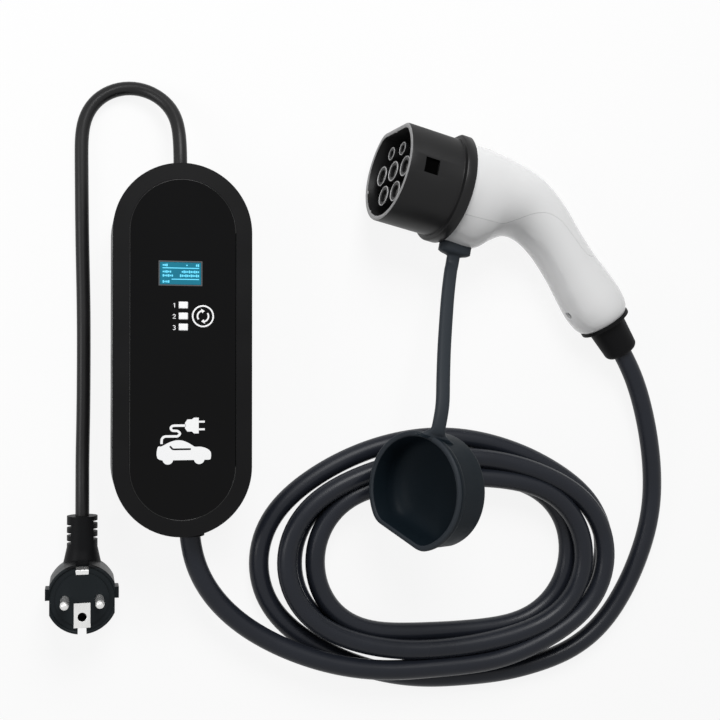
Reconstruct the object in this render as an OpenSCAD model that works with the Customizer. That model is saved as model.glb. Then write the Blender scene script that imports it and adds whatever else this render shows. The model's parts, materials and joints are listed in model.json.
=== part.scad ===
// Portable vehicle charger: a control box on its back, a mains lead with an angled earthed plug,
// a coiled charging cable and a seven-contact vehicle connector with a tethered dust cap.
// Millimetres, +Z up, the origin is the centre of the box's back face on the floor.

/* [Control box] */
// Width of the box across its long sides
box_w = 78; // [77:0.5:80]
// Length of the box between its round ends
box_l = 211; // [210:0.5:213]
// Thickness of the box from back to bezel
box_t = 46; // [45:0.5:50]
// Wall thickness of both shells
wall = 3; // [2.6:0.1:3.2]
// Height of the parting line between the shells
split_z = 24; // [23.5:0.5:25]
// Rounding of the front edge of the bezel
front_r = 7; // [5:0.5:8]
// Rounding of the back edge
back_r = 4; // [3:0.5:5]
// Width of the bezel around the panel
bezel = 9.3; // [8.5:0.1:10]
// Thickness of the glossy panel
panel_t = 1.5; // [1.2:0.1:1.8]
// Depth of the panel below the bezel
panel_sink = 0.3; // [0.1:0.1:0.6]
// Width of the ledge that carries the panel
ledge = 2.7; // [2:0.1:3.2]
// Gap between a part and the pocket that it sits in
fit_gap = 0.15; // [0.1:0.05:0.25]
// Width of the shell gasket
gasket_w = 1.2; // [1:0.1:1.4]
// Height of the shell gasket
gasket_h = 1; // [0.8:0.1:1.2]

/* [Panel windows] */
// Width of the display window
display_w = 23.2; // [22:0.2:25]
// Height of the display window
display_h = 12.8; // [12:0.2:14]
// Height of the display above the middle of the panel
display_y = 43; // [41:0.5:46]
// Width of one status window
status_w = 5.4; // [4.8:0.2:6]
// Height of one status window
status_h = 4.1; // [3.6:0.1:4.4]
// Distance between status windows
status_pitch = 6.2; // [6:0.1:6.6]
// Height of the middle status window above the middle of the panel
status_y = 19; // [17:0.5:21]
// Distance of the touch key from the middle line
key_x = 11; // [10:0.5:13]
// Diameter of the sensor pad under the touch key
key_pad_d = 8; // [6:0.5:9]

/* [Shell screws] */
// Diameter of the shell screw shank
screw_d = 3; // [2.5:0.1:3.2]
// Diameter of the shell screw head
screw_head_d = 5.6; // [5:0.2:6]
// Diameter of a screw boss
boss_d = 8.6; // [8:0.2:9]
// Distance between screw rows along the box
screw_pitch = 62; // [58:1:64]

/* [Mains lead] */
// Diameter of the mains cord
cord_d = 8; // [7.4:0.2:8.4]
// Diameter of the mains gland neck
cord_gland_d = 14.4; // [13.6:0.2:15]
// Diameter of a plug pin
pin_d = 4.8; // [4.6:0.1:5]
// Length of a plug pin
pin_l = 19; // [18:0.5:20]
// Distance between the plug pins
pin_pitch = 19; // [18:0.5:20]
// Height of the plug from its back to its face
plug_h = 34; // [32:0.5:36]
// Diameter of the round front of the plug
plug_d = 39.6; // [38.6:0.2:40.4]
// Width of the plug across its side flats
plug_flat_w = 35.8; // [35:0.2:37]
// Width across the two finger tabs
plug_tab_w = 41.4; // [40:0.2:43]
// Diameter of the plug's cord grip
grip_d = 17.4; // [16:0.2:18]
// Diameter of the earth socket in the plug face
earth_d = 4.9; // [4.7:0.1:5.2]

/* [Charging cable] */
// Diameter of the charging cable
cable_d = 12; // [11.4:0.2:12.4]
// Diameter of the charging cable's gland neck
cable_gland_d = 18.4; // [17.8:0.2:19]
// Height of the cable coil
coil_h = 24.4; // [23:0.2:24.6]
// Half of the coil's length over its outer turns
coil_half_l = 126; // [124:0.5:128]
// Half of the coil's width over its outer turns
coil_half_w = 82.5; // [81:0.5:84]
// Width of the band of turns at the ends of the coil
coil_end_band = 46; // [44:0.5:48]
// Width of the band of turns at the sides of the coil
coil_side_band = 41; // [40:0.5:42]

/* [Connector nose] */
// Radius of the connector nose
nose_r = 31; // [30:0.2:31.4]
// Height of the flat above the nose axis
nose_flat = 26; // [25:0.2:26.6]
// Length of the nose in front of the collar
nose_l = 35; // [33:0.5:38]
// Wall of the nose sleeve
nose_wall = 3; // [2.8:0.1:3.4]
// Radius of the collar
collar_r = 34; // [33.4:0.2:34.4]
// Thickness of the collar
collar_t = 7; // [5:0.5:7]
// Depth of the latch recess in the side of the nose
latch_depth = 1.8; // [1:0.1:2]
// Length and width of the latch recess
latch_size = 9; // [7:0.5:10]
// Distance between neighbouring power contacts
contact_pitch = 16; // [15:0.2:16.6]
// Bore of a power contact
power_bore = 6.1; // [6:0.1:6.3]
// Bore of a signal contact
signal_bore = 3.1; // [3:0.1:3.3]
// Outer diameter of a power tower
power_tower_d = 12.4; // [12:0.2:13]
// Outer diameter of a signal tower
signal_tower_d = 8.4; // [7.8:0.2:8.8]
// Depth of the tower ends behind the nose rim
tower_sink = 3.5; // [2:0.5:5]

/* [Connector handle] */
// Wall of the handle shells
grip_wall = 2.6; // [2:0.1:3]
// Diameter of the cable boot barrel
boot_d = 23; // [21:0.5:24]
// Length of the cable boot barrel
boot_l = 25; // [24:0.5:28]
// Diameter of the boot flange
boot_flange_d = 33; // [30:0.5:34]

/* [Dust cap] */
// Gap between the cap and the nose that it covers
cap_gap = 0.4; // [0.3:0.1:0.8]
// Wall of the cap
cap_wall = 2.8; // [2.4:0.1:3.4]
// Inside depth of the cap
cap_depth = 22.4; // [20:0.2:24]
// Width of the strap
strap_w = 8; // [6:0.5:9]
// Thickness of the strap
strap_t = 4.4; // [3.5:0.1:5]

/* [Hidden] */
$fn = 72;
box_r = box_w / 2;
straight = box_l - box_w;
panel_r = box_r - bezel;
panel_top = box_t - panel_sink;
panel_z = panel_top - panel_t;
ledge_z = panel_z - 1.6;
board_z = 9;
board_t = 1.6;
board_top = board_z + board_t;
ui_z = 36;
ui_top = ui_z + board_t;
ui_y = 28;
ui_half_w = box_r - 7.5;
ui_half_l = 38;
ui_post_x = box_r - 10.5;
ui_posts = [[-ui_post_x, 20], [ui_post_x, 20], [-ui_post_x, -20], [ui_post_x, -20]];
board_half_w = box_r - 11;
board_half_l = box_l / 2 - 33.5;
post_x = board_half_w - 4;
post_y = board_half_l - 16;
board_posts = [[-post_x, post_y], [post_x, post_y], [-post_x, -post_y], [post_x, -post_y]];
terminal_pitch = (box_w - 33) / 5;
terminal_h = 13;
terminal_hole_d = 3;
terminal_hole_z = 6;
input_block_y = board_half_l - 17;
output_block_y = 6 - board_half_l;
relay = [15, 29, 21];
relay_x = 15;
relay_y = 40 - board_half_l;
sensor_d = 26;
sensor_h = 11;
sensor_y = 26 - board_half_l;
transformer = [24, 20, 18];
transformer_pos = [-20, 14];
capacitor_d = 12;
capacitor_h = 20;
capacitor_x = 15;
capacitor_ys = [18, 34];
boss_x = box_r - wall - 3.4;
shell_screw_pts = [for (y = [-screw_pitch, 0, screw_pitch]) for (x = [-boss_x, boss_x]) [x, y]];
head_h = 2.6;
head_sink = 3.4;
cable_x = 5;
gland_y = box_l / 2;
clamp_y = box_l / 2 - 21.5;
clamp_w = 9;
clamp_h = 6.6;
clamp_span = 30;
end_inside = clamp_y - clamp_w / 2 - 0.5;
grip_z = 9.2;
pin_root_d = pin_d - 1;
pin_root_l = 12;
input_starts = [[-2.4, -1], [0, 2.6], [2.4, -1]];
output_starts = [[-3.7, -1], [-2, 3], [0, -3.4], [2, 3], [3.7, -1]];

cord_route = [
    [0, end_inside, split_z], [0, gland_y - 13.5, split_z], [0, gland_y + 3, split_z], [0, gland_y + 8.5, split_z],
    [-0.8, gland_y + 16.5, 22.5],
    [-3.6, 134, 17.5], [-10, 146, 11.5], [-20, 154, 7.5], [-30, 156.5, 5.2], [-41, 153, 4.4], [-50, 145, 4.3],
    [-55, 133, 4.3], [-56, 116, 4.3], [-55.5, 70, 4.3], [-54.5, 20, 4.3], [-54.5, -30, 4.3], [-55, -62, 4.6],
    [-55, -74, 6.4], [-55, -82, 8.6], [-55, -88, grip_z], [-55, -94, grip_z],
    [-55, -104, grip_z], [-55, -120, grip_z]
];
lead_route = [
    [cable_x, -end_inside, split_z], [cable_x, 13.5 - gland_y, split_z], [cable_x, -gland_y - 3, split_z],
    [cable_x, -gland_y - 7.5, split_z],
    [7.8, -124, 22.8], [14.4, -138, 20.4], [26, -153, 18.6], [43, -167, 18], [63, -178, 18],
    [84, -186, 18], [104, -190, 18], [124, -190, 18]
];
gun_route_end = [
    [295.5, -20.5, 13.9], [302, -40.8, 12], [307, -60.5, 9.6], [309.8, -80, 7.6], [310.5, -95, 6.5],
    [308.5, -110, 6.2], [303.5, -126, 6.2], [297, -142, 6.2], [289.5, -158.5, 6.2], [277.5, -174.2, 6.2],
    [264, -185, 6.2], [248, -192.5, 6.2], [230, -196.5, 6.2], [210, -197, 6.2], [192, -195, 6.2]
];

plug_pos = [-55, -140, 0];
coil_pos = [165, -128];
coil_end_r = 56;
hole_end_r = 38;
coil_edge_r = 7;
coil_steps = 64;
coil_clearance = 0.1;
tow_x = nose_l + collar_t - tower_sink;
row_v = contact_pitch * 0.866;
power_pts = [
    [0, 0], [-contact_pitch, 0], [contact_pitch, 0], [-contact_pitch / 2, -row_v], [contact_pitch / 2, -row_v]
];
signal_pts = [[-7.6, 12.5], [7.6, 12.5]];
power_tube_r = power_bore / 2 + 1.35;
signal_tube_r = signal_bore / 2 + 1.05;
carrier_t = 9;

gun_pos = [161.3, 98.7, 33.75];
gun_turn = [94, -9.2, 167.6];
bend_tilt = 43;
butt_x = -124;
butt_v = -53;
stations = [
    [0, -1.5, 0, 30.2, 29.2], [-8, -1.6, 0, 31.4, 28.6], [-16.5, -1.6, 0, 32, 27.2], [-25, -0.6, 2, 30.3, 25.2],
    [-33, 1.4, 6, 27.2, 23.2], [-41.5, 3.1, 10, 24.1, 21.6], [-50, 3.1, 15, 21.8, 20.3],
    [-58.5, 0.7, 21, 20, 19.5], [-68.5, -5, 29, 18.2, 18.8], [-79.5, -13.9, 38, 16.7, 18],
    [-92.5, -25.5, 41.5, 17, 17.6], [-103.5, -35.1, 43, 18.7, 18], [-112.6, -43.2, 43, 19.6, 18.5],
    [-118.4, -48.2, 43, 19, 18.2], [-121.7, -51.1, 43, 17.8, 17.2], [butt_x, butt_v, 43, 16, 15.6]
];
seam = [
    [2, -19.5], [-12, -19], [-24, -17.8], [-31, -16.2], [-36, -13.6], [-41, -10.4], [-47, -6.6], [-53, -3.6],
    [-60, -2.2], [-68, -3.4], [-76, -7.6], [-84, -13], [-92, -18.4], [-99, -18.4], [-107, -9],
    [-107, 60], [2, 60]
];
clamp_s = -17;
grip_screw_out = 18.6;
cap_pos = [149.4, -81.4, 52.7];
cap_turn = [0, -57, -2];
cap_roll = -22;
cap_r = nose_r + cap_gap;
cap_flat = nose_flat + cap_gap;
cap_floor = 2.6;
cap_rim_h = 6;
cap_step = 0.8;
strap_x = cap_floor + cap_depth - cap_rim_h / 2;
strap_foot_n = -10.5;
strap_middle = [
    [160.2, 47, 38.4], [156.3, 33, 45.4], [152.6, 17, 53], [148.9, 0, 61.2], [145.9, -16, 68.8], [143.5, -31, 74.8]
];

function unit(v) = v / norm(v);
function mix(a, b, t) = a + (b - a) * t;
function spline(a, b, c, d, t) =
    0.5 * ((2 * b) + (c - a) * t + (2 * a - 5 * b + 4 * c - d) * t * t + (3 * b - a - 3 * c + d) * t * t * t);
function at(p, i) = p[max(0, min(len(p) - 1, i))];
function smooth(p, n) = [
    for (i = [0 : len(p) - 2]) for (k = [0 : n - 1]) spline(at(p, i - 1), p[i], p[i + 1], at(p, i + 2), k / n),
    p[len(p) - 1]
];
function tangent(p, i) = unit(at(p, i + 1) - at(p, i - 1));
function ring(c, t, r, n) =
    let (x = unit(cross([0, 0, 1], t)), y = cross(t, x))
    [for (k = [0 : n - 1]) c + r * (cos(360 * k / n) * x + sin(360 * k / n) * y)];
function tube_rings(p, r, n) = [for (i = [0 : len(p) - 1]) ring(p[i], tangent(p, i), r, n)];
function loft_ring(s, inset, n) =
    let (up = [-sin(s[2]), 0, cos(s[2])])
    [for (k = [0 : n - 1])
        [s[0], 0, s[1]] + cos(360 * k / n) * (s[3] - inset) * up + sin(360 * k / n) * (s[4] - inset) * [0, 1, 0]];
function rot_x(v, a) = [v[0], v[1] * cos(a) - v[2] * sin(a), v[1] * sin(a) + v[2] * cos(a)];
function rot_y(v, a) = [v[0] * cos(a) + v[2] * sin(a), v[1], -v[0] * sin(a) + v[2] * cos(a)];
function rot_z(v, a) = [v[0] * cos(a) - v[1] * sin(a), v[0] * sin(a) + v[1] * cos(a), v[2]];
function turned(v, a) = rot_z(rot_y(rot_x(v, a[0]), a[1]), a[2]);
// Point of the connector's own frame on the floor plan
function to_world(v) = gun_pos + turned(v, gun_turn);
// Point of the cap's own frame on the floor plan
function to_cap(v) = cap_pos + turned(rot_y(rot_x(v, 90 + cap_roll), -90), cap_turn);
// Point of the handle axis, s beyond the butt, in the connector's own frame
function butt(s) = [butt_x - s * cos(bend_tilt), 0, butt_v - s * sin(bend_tilt)];

// Closed skin through a list of rings with the same number of points
module skin(rings) {
    n = len(rings[0]);
    m = len(rings);
    points = [for (r = rings) each r];
    sides = [for (i = [0 : m - 2]) for (k = [0 : n - 1]) each [
        [i * n + k, (i + 1) * n + k, (i + 1) * n + (k + 1) % n],
        [i * n + k, (i + 1) * n + (k + 1) % n, i * n + (k + 1) % n]
    ]];
    first = [[for (k = [0 : n - 1]) k]];
    last = [[for (k = [0 : n - 1]) (m - 1) * n + n - 1 - k]];
    polyhedron(points = points, faces = concat(sides, first, last), convexity = 6);
}

// Round cord along a smooth route
module cord(route, d, steps, sides) {
    skin(tube_rings(smooth(route, steps), d / 2, sides));
}

// Half of a section with rounded outer corners, for turning and extruding
module half_section(r, z0, z1, rb, rt) {
    translate([0, z0 + rb]) square([r, z1 - z0 - rb - rt]);
    translate([0, z0]) square([r - rb, z1 - z0]);
    if (rb > 0) translate([r - rb, z0 + rb]) circle(rb);
    if (rt > 0) translate([r - rt, z1 - rt]) circle(rt);
}

// Solid with round ends from half of its section
module oblong(length) {
    translate([0, length / 2, 0]) rotate_extrude(angle = 180) children();
    translate([0, -length / 2, 0]) rotate([0, 0, 180]) rotate_extrude(angle = 180) children();
    rotate([90, 0, 0]) linear_extrude(height = length, center = true) {
        children();
        mirror([1, 0]) children();
    }
}

module along_y(x, z) {
    translate([x, 0, z]) rotate([-90, 0, 0]) children();
}

module gland_hole(x, y, d) {
    translate([x, y - 22, split_z]) rotate([-90, 0, 0]) cylinder(d = d, h = 44);
}

module in_gun() {
    translate(gun_pos) rotate(gun_turn) children();
}

module nose_axis() {
    rotate([0, 90, 0]) children();
}

// Round disc with a flat, extruded along the nose axis from x0 to x1
module dee(r, flat, x0, x1, drop) {
    translate([x0, 0, 0]) intersection() {
        translate([0, 0, drop]) rotate([0, 90, 0]) cylinder(r = r, h = x1 - x0);
        translate([-1, -r - 5, -2 * r]) cube([x1 - x0 + 2, 2 * r + 10, 2 * r + flat]);
    }
}

module rear_shell() {
    color([0.07, 0.07, 0.075]) difference() {
        union() {
            difference() {
                oblong(straight) half_section(box_r, 0, split_z, back_r, 0);
                oblong(straight) half_section(box_r - wall, wall, split_z + 1, 2, 0);
            }
            for (p = shell_screw_pts) translate([p[0], p[1], 1]) cylinder(d = boss_d, h = split_z - 2);
            for (p = board_posts) translate([p[0], p[1], 1]) cylinder(d = 7, h = board_z - 1);
            translate([-clamp_span / 2, clamp_y - clamp_w / 2, 1]) cube([clamp_span, clamp_w, split_z - 1]);
            translate([cable_x - clamp_span / 2, -clamp_y - clamp_w / 2, 1])
                cube([clamp_span, clamp_w, split_z - 1]);
        }
        oblong(straight) difference() {
            half_section(box_r - wall / 2 + gasket_w / 2, split_z - gasket_h, split_z + 1, 0, 0);
            half_section(box_r - wall / 2 - gasket_w / 2, split_z - gasket_h - 1, split_z + 2, 0, 0);
        }
        for (p = shell_screw_pts) {
            translate([p[0], p[1], -1]) cylinder(d = screw_d + 2 * fit_gap, h = split_z + 2);
            translate([p[0], p[1], -1]) cylinder(d = screw_head_d + 4 * fit_gap, h = head_sink + head_h + 1);
        }
        for (p = board_posts) translate([p[0], p[1], 3]) cylinder(d = 2.5, h = board_z);
        gland_hole(0, gland_y, cord_gland_d);
        gland_hole(cable_x, -gland_y, cable_gland_d);
        along_y(0, split_z) translate([0, 0, clamp_y - 14]) cylinder(d = cord_d, h = 26);
        along_y(cable_x, split_z) translate([0, 0, -clamp_y - 12]) cylinder(d = cable_d, h = 26);
        for (x = [-1, 1]) {
            translate([x * clamp_span * 0.37, clamp_y, 8]) cylinder(d = 2.5, h = split_z);
            translate([cable_x + x * clamp_span * 0.37, -clamp_y, 8]) cylinder(d = 2.5, h = split_z);
        }
    }
}

module front_shell() {
    color([0.08, 0.08, 0.085]) difference() {
        union() {
            difference() {
                oblong(straight) half_section(box_r, split_z, box_t, 0, front_r);
                oblong(straight) half_section(box_r - wall, split_z - 1, ledge_z, 0, front_r - wall);
            }
            for (p = shell_screw_pts) translate([p[0], p[1], split_z])
                cylinder(d = boss_d, h = ledge_z - split_z + 0.5);
            for (p = ui_posts) translate([p[0], ui_y + p[1], ui_top]) cylinder(d = 5, h = ledge_z - ui_top + 0.5);
        }
        oblong(straight) half_section(panel_r + fit_gap, panel_z, box_t + 1, 0, 0);
        oblong(straight) half_section(panel_r - ledge, ledge_z - 1, box_t, 0, 0);
        for (p = shell_screw_pts) translate([p[0], p[1], split_z - 1]) cylinder(d = screw_d - 0.4, h = 12.5);
        for (p = ui_posts) translate([p[0], ui_y + p[1], ui_top - 1]) cylinder(d = 1.8, h = 4.5);
        gland_hole(0, gland_y, cord_gland_d);
        gland_hole(cable_x, -gland_y, cable_gland_d);
    }
}

module shell_gasket() {
    color([0.25, 0.25, 0.27]) difference() {
        oblong(straight) difference() {
            half_section(box_r - wall / 2 + gasket_w / 2 - 0.05, split_z - gasket_h, split_z, 0, 0);
            half_section(box_r - wall / 2 - gasket_w / 2 + 0.05, split_z - gasket_h - 1, split_z + 1, 0, 0);
        }
        gland_hole(0, gland_y, cord_gland_d);
        gland_hole(cable_x, -gland_y, cable_gland_d);
    }
}

module shell_screws() {
    color([0.7, 0.7, 0.72]) for (p = shell_screw_pts) translate([p[0], p[1], head_sink]) difference() {
        union() {
            cylinder(d = screw_head_d, h = head_h);
            cylinder(d = screw_d, h = split_z - head_sink);
            cylinder(d = screw_d - 0.4, h = split_z - head_sink + 10);
        }
        translate([0, 0, -1]) cylinder(d = 2.6, h = 2.4, $fn = 6);
    }
}

module front_panel() {
    color([0.02, 0.02, 0.022]) difference() {
        oblong(straight) half_section(panel_r, panel_z, panel_top, 0, 0.5);
        translate([-1.6 - display_w / 2, display_y - display_h / 2, panel_z - 1])
            cube([display_w, display_h, panel_t + 2]);
        for (k = [-1, 0, 1]) translate([-status_w / 2, status_y + k * status_pitch - status_h / 2, panel_z - 1])
            cube([status_w, status_h, panel_t + 2]);
    }
}

module display_module() {
    color([0.1, 0.14, 0.2]) {
        translate([-1.6 - display_w / 2 + fit_gap, display_y - display_h / 2 + fit_gap, panel_z - 1])
            cube([display_w - 2 * fit_gap, display_h - 2 * fit_gap, panel_t + 0.8]);
        translate([-1.6 - 14, display_y - 10, ui_top]) cube([28, 20, panel_z - ui_top]);
    }
}

module status_lenses() {
    color([0.93, 0.93, 0.93]) for (k = [-1, 0, 1]) translate([0, status_y + k * status_pitch, 0]) {
        translate([-status_w / 2 + fit_gap, -status_h / 2 + fit_gap, panel_z - 1])
            cube([status_w - 2 * fit_gap, status_h - 2 * fit_gap, panel_t + 0.9]);
        translate([-3.6, -2.8, ui_top + 1.4]) cube([7.2, 5.6, panel_z - ui_top - 1.4]);
    }
}

module status_leds() {
    color([0.95, 0.93, 0.8]) for (k = [-1, 0, 1]) translate([-1.6, status_y + k * status_pitch - 1.4, ui_top])
        cube([3.2, 2.8, 1.4]);
}

module key_sensor() {
    color([0.3, 0.3, 0.32]) translate([key_x, status_y, ui_top]) cylinder(d = key_pad_d, h = panel_z - ui_top);
}

module front_board() {
    color([0.05, 0.3, 0.16]) difference() {
        translate([-ui_half_w, ui_y - ui_half_l, ui_z]) cube([2 * ui_half_w, 2 * ui_half_l, board_t]);
        for (p = ui_posts) translate([p[0], ui_y + p[1], ui_z - 1]) cylinder(d = 2.4, h = board_t + 2);
        for (p = shell_screw_pts) translate([p[0], p[1], ui_z - 1]) cylinder(d = boss_d + 1, h = board_t + 2);
    }
}

module front_board_screws() {
    color([0.7, 0.7, 0.72]) for (p = ui_posts) translate([p[0], ui_y + p[1], ui_z - 1.6]) {
        cylinder(d = 4, h = 1.6);
        cylinder(d = 1.8, h = 6);
    }
}

module main_board() {
    color([0.05, 0.33, 0.18]) difference() {
        translate([-board_half_w, -board_half_l, board_z]) cube([2 * board_half_w, 2 * board_half_l, board_t]);
        for (p = board_posts) translate([p[0], p[1], board_z - 1]) cylinder(d = 3, h = board_t + 2);
    }
}

module board_screws() {
    color([0.7, 0.7, 0.72]) for (p = board_posts) translate([p[0], p[1], board_top]) {
        cylinder(d = 5, h = 2);
        translate([0, 0, -7]) cylinder(d = 2.5, h = 8);
    }
}

module power_relays() {
    color([0.1, 0.12, 0.16]) for (x = [-relay_x, relay_x])
        translate([x - relay[0] / 2, relay_y, board_top]) cube(relay);
}

module fault_coil() {
    color([0.12, 0.2, 0.3]) translate([0, sensor_y, board_top]) difference() {
        cylinder(d = sensor_d, h = sensor_h);
        translate([0, 0, -1]) cylinder(d = sensor_d / 2, h = sensor_h + 2);
    }
}

module supply_transformer() {
    color([0.75, 0.66, 0.2]) translate([transformer_pos[0], transformer_pos[1], board_top]) difference() {
        cube(transformer);
        translate([-1, transformer[1] / 4, 5]) cube([transformer[0] + 2, transformer[1] / 2, 8]);
    }
}

module storage_capacitors() {
    color([0.1, 0.1, 0.13]) for (y = capacitor_ys) translate([capacitor_x, y, board_top])
        cylinder(d = capacitor_d, h = capacitor_h);
}

// Row of n screwless terminals, t deep, with holes from the face at hole_y
module terminal_row(n, t, hole_y) {
    difference() {
        cube([n * terminal_pitch, t, terminal_h]);
        for (k = [0 : n - 1]) translate([(k + 0.5) * terminal_pitch, hole_y, terminal_hole_z]) rotate([-90, 0, 0])
            cylinder(d = terminal_hole_d, h = hole_y < 0 ? 4.5 : 6);
    }
}

module input_terminals() {
    color([0.2, 0.45, 0.25]) translate([-1.5 * terminal_pitch, input_block_y, board_top]) terminal_row(3, 10, 5);
}

module output_terminals() {
    color([0.2, 0.45, 0.25]) translate([cable_x - 2.5 * terminal_pitch, output_block_y, board_top])
        terminal_row(5, 5.5, -1);
}

// Bent core from point a to point b that leaves and arrives along Y
module core(a, b, d) {
    y = b[1] > a[1] ? 1 : -1;
    route = [a, a + [0, y, 0], a + [0, 2 * y, 0], b - [0, 7 * y, 0], b - [0, 5.4 * y, 0], b];
    skin(tube_rings(smooth(route, 2), d / 2, 8));
}

module input_cores() {
    z = board_top + terminal_hole_z;
    color([0.45, 0.25, 0.1]) for (k = [0 : 2])
        core([input_starts[k][0], end_inside, split_z + input_starts[k][1]],
            [(k - 1) * terminal_pitch, input_block_y + 5, z], 2);
}

module output_cores() {
    z = board_top + terminal_hole_z;
    color([0.2, 0.3, 0.6]) for (k = [0 : 4])
        core([cable_x + output_starts[k][0], -end_inside, split_z + output_starts[k][1]],
            [cable_x + (k - 2) * terminal_pitch, output_block_y + 3.5, z], 1.5);
}

module gland(d, bore) {
    rotate_extrude() difference() {
        union() {
            translate([0, -9]) square([d / 2, 11]);
            translate([0, -9]) square([d / 2 + 1.6, 2]);
        }
        translate([-1, -12]) square([bore / 2 + 1, 20]);
    }
}

module input_gland() {
    color([0.05, 0.05, 0.055]) translate([0, gland_y, split_z]) rotate([-90, 0, 0]) gland(cord_gland_d, cord_d);
}

module output_gland() {
    color([0.05, 0.05, 0.055]) translate([cable_x, -gland_y, split_z]) rotate([90, 0, 0])
        gland(cable_gland_d, cable_d);
}

module clamp_bar(d) {
    difference() {
        translate([-clamp_span / 2, -clamp_w / 2, 0.4]) cube([clamp_span, clamp_w, clamp_h + d / 2 - 3]);
        translate([0, -10, 0]) rotate([-90, 0, 0]) cylinder(d = d, h = 20);
        for (x = [-1, 1]) translate([x * clamp_span * 0.37, 0, -1]) cylinder(d = 3, h = 20);
    }
}

module input_clamp() {
    color([0.3, 0.3, 0.32]) translate([0, clamp_y, split_z]) clamp_bar(cord_d);
}

module output_clamp() {
    color([0.3, 0.3, 0.32]) translate([cable_x, -clamp_y, split_z]) clamp_bar(cable_d);
}

// Screw of a cord clamp, its tip at z 10 and its head on the bar for a cord of diameter d
module clamp_screw(d) {
    bar_top = split_z + 0.4 + clamp_h + d / 2 - 3;
    translate([0, 0, 10]) cylinder(d = 2.5, h = bar_top - 9);
    translate([0, 0, bar_top]) cylinder(d = 5, h = 2);
}

module clamp_screws() {
    color([0.7, 0.7, 0.72]) for (x = [-1, 1]) {
        translate([x * clamp_span * 0.37, clamp_y, 0]) clamp_screw(cord_d);
        translate([cable_x + x * clamp_span * 0.37, -clamp_y, 0]) clamp_screw(cable_d);
    }
}

module mains_cord() {
    color([0.05, 0.05, 0.06]) cord(cord_route, cord_d, 3, 10);
}

module plug_body() {
    color([0.16, 0.17, 0.2]) translate(plug_pos) difference() {
        union() {
            intersection() {
                rotate_extrude() half_section(plug_d / 2, 0, plug_h, 5, 1);
                translate([-plug_flat_w / 2, -40, -1]) cube([plug_flat_w, 80, plug_h + 2]);
            }
            translate([0, 12, grip_z]) rotate([-90, 0, 0]) cylinder(d = grip_d, h = 32);
            translate([0, 8, grip_z]) rotate([-90, 0, 0]) cylinder(d1 = grip_d + 8, d2 = grip_d, h = 18);
            translate([-plug_tab_w / 2, -3.2, 5]) cube([plug_tab_w, 6.4, 12]);
        }
        translate([-50, -50, -20]) cube([100, 100, 20]);
        translate([0, 20, grip_z]) rotate([-90, 0, 0]) cylinder(d = cord_d, h = 40);
        for (s = [-1, 1]) translate([s * pin_pitch / 2, 0, plug_h - pin_root_l]) cylinder(d = pin_root_d, h = 20);
        for (k = [0 : 2]) for (s = [-1, 1])
            translate([s * (grip_d / 2 - 1.6), 29 + 4.6 * k + (s > 0 ? 2.3 : 0), grip_z])
                cube([7, 1.7, 12], center = true);
        translate([-2.4, -plug_d / 2 - 1, 6]) cube([4.8, 4.6, plug_h]);
        translate([-3.6, plug_d / 2 - 3.4, 20]) cube([7.2, 6, plug_h]);
        plug_strip_shape(12.8);
        translate([-14.5, -2, plug_h - 10]) cube([29, 8, 5]);
    }
}

module plug_strip_shape(h) {
    translate([-4.7, -16.1, plug_h - 12]) cube([9.4, 14.1, h]);
    translate([-3.6, 13.6, plug_h - 12]) cube([7.2, 2.8, h]);
}

module plug_earth_strip() {
    color([0.75, 0.75, 0.76]) translate(plug_pos) difference() {
        plug_strip_shape(11.8);
        translate([0, -10, plug_h - 11]) cylinder(d = earth_d, h = 20);
    }
}

module plug_bridge() {
    color([0.8, 0.78, 0.7]) translate(plug_pos) difference() {
        translate([-14.5, -2, plug_h - 10]) cube([29, 8, 5]);
        for (s = [-1, 1]) translate([s * pin_pitch / 2, 0, plug_h - pin_root_l]) cylinder(d = pin_root_d, h = 20);
    }
}

module plug_pins() {
    color([0.8, 0.8, 0.8]) translate(plug_pos) for (s = [-1, 1])
    translate([s * pin_pitch / 2, 0, plug_h]) {
        translate([0, 0, -pin_root_l]) cylinder(d = pin_root_d, h = pin_root_l + 1);
        cylinder(d = pin_d, h = pin_l - pin_d / 2);
        translate([0, 0, pin_l - pin_d / 2]) sphere(d = pin_d);
    }
}

// Distance from the middle, in direction q, of an oval with half sizes a and b and end arcs of radius r
function oval_reach(q, a, b, r) =
    let (e = a - r, big = (a * a + b * b - 2 * a * r) / (2 * (b - r)), k = big - b)
    let (joint = atan2(r * k / (big - r), e + r * e / (big - r)), c = abs(cos(q)), d = abs(sin(q)))
    atan2(d, c) < joint ? e * c + sqrt(r * r - e * e * d * d) : sqrt(big * big - k * k * c * c) - k * d;

// Rounded section of the band of turns between two distances from the middle
function band_points(q, near, far) = [
    for (k = [0 : 3]) for (t = [0, 30, 60, 90])
        let (right = k == 0 || k == 3, low = k > 1, w = 90 * k + t)
        let (d = (right ? far - coil_edge_r : near + coil_edge_r) + coil_edge_r * cos(w))
        [d * cos(q), d * sin(q), (low ? coil_edge_r : coil_h - coil_edge_r) + coil_edge_r * sin(w)]];

// Ring of sections round the oval, closed on itself
module coil_solid() {
    hole_l = coil_half_l - coil_end_band;
    hole_w = coil_half_w - coil_side_band;
    rows = [for (i = [0 : coil_steps - 1])
        let (t = 360 * i / coil_steps, q = atan2(coil_half_w * sin(t), coil_half_l * cos(t)))
        band_points(q, oval_reach(q, hole_l, hole_w, hole_end_r),
            oval_reach(q, coil_half_l, coil_half_w, coil_end_r))];
    n = len(rows[0]);
    skin = [for (i = [0 : coil_steps - 1]) for (k = [0 : n - 1])
        let (a = i * n, b = ((i + 1) % coil_steps) * n, m = (k + 1) % n)
        each [[a + k, b + k, b + m], [a + k, b + m, a + m]]];
    translate([coil_pos[0], coil_pos[1], 0]) polyhedron([for (r = rows) each r], skin);
}

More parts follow.
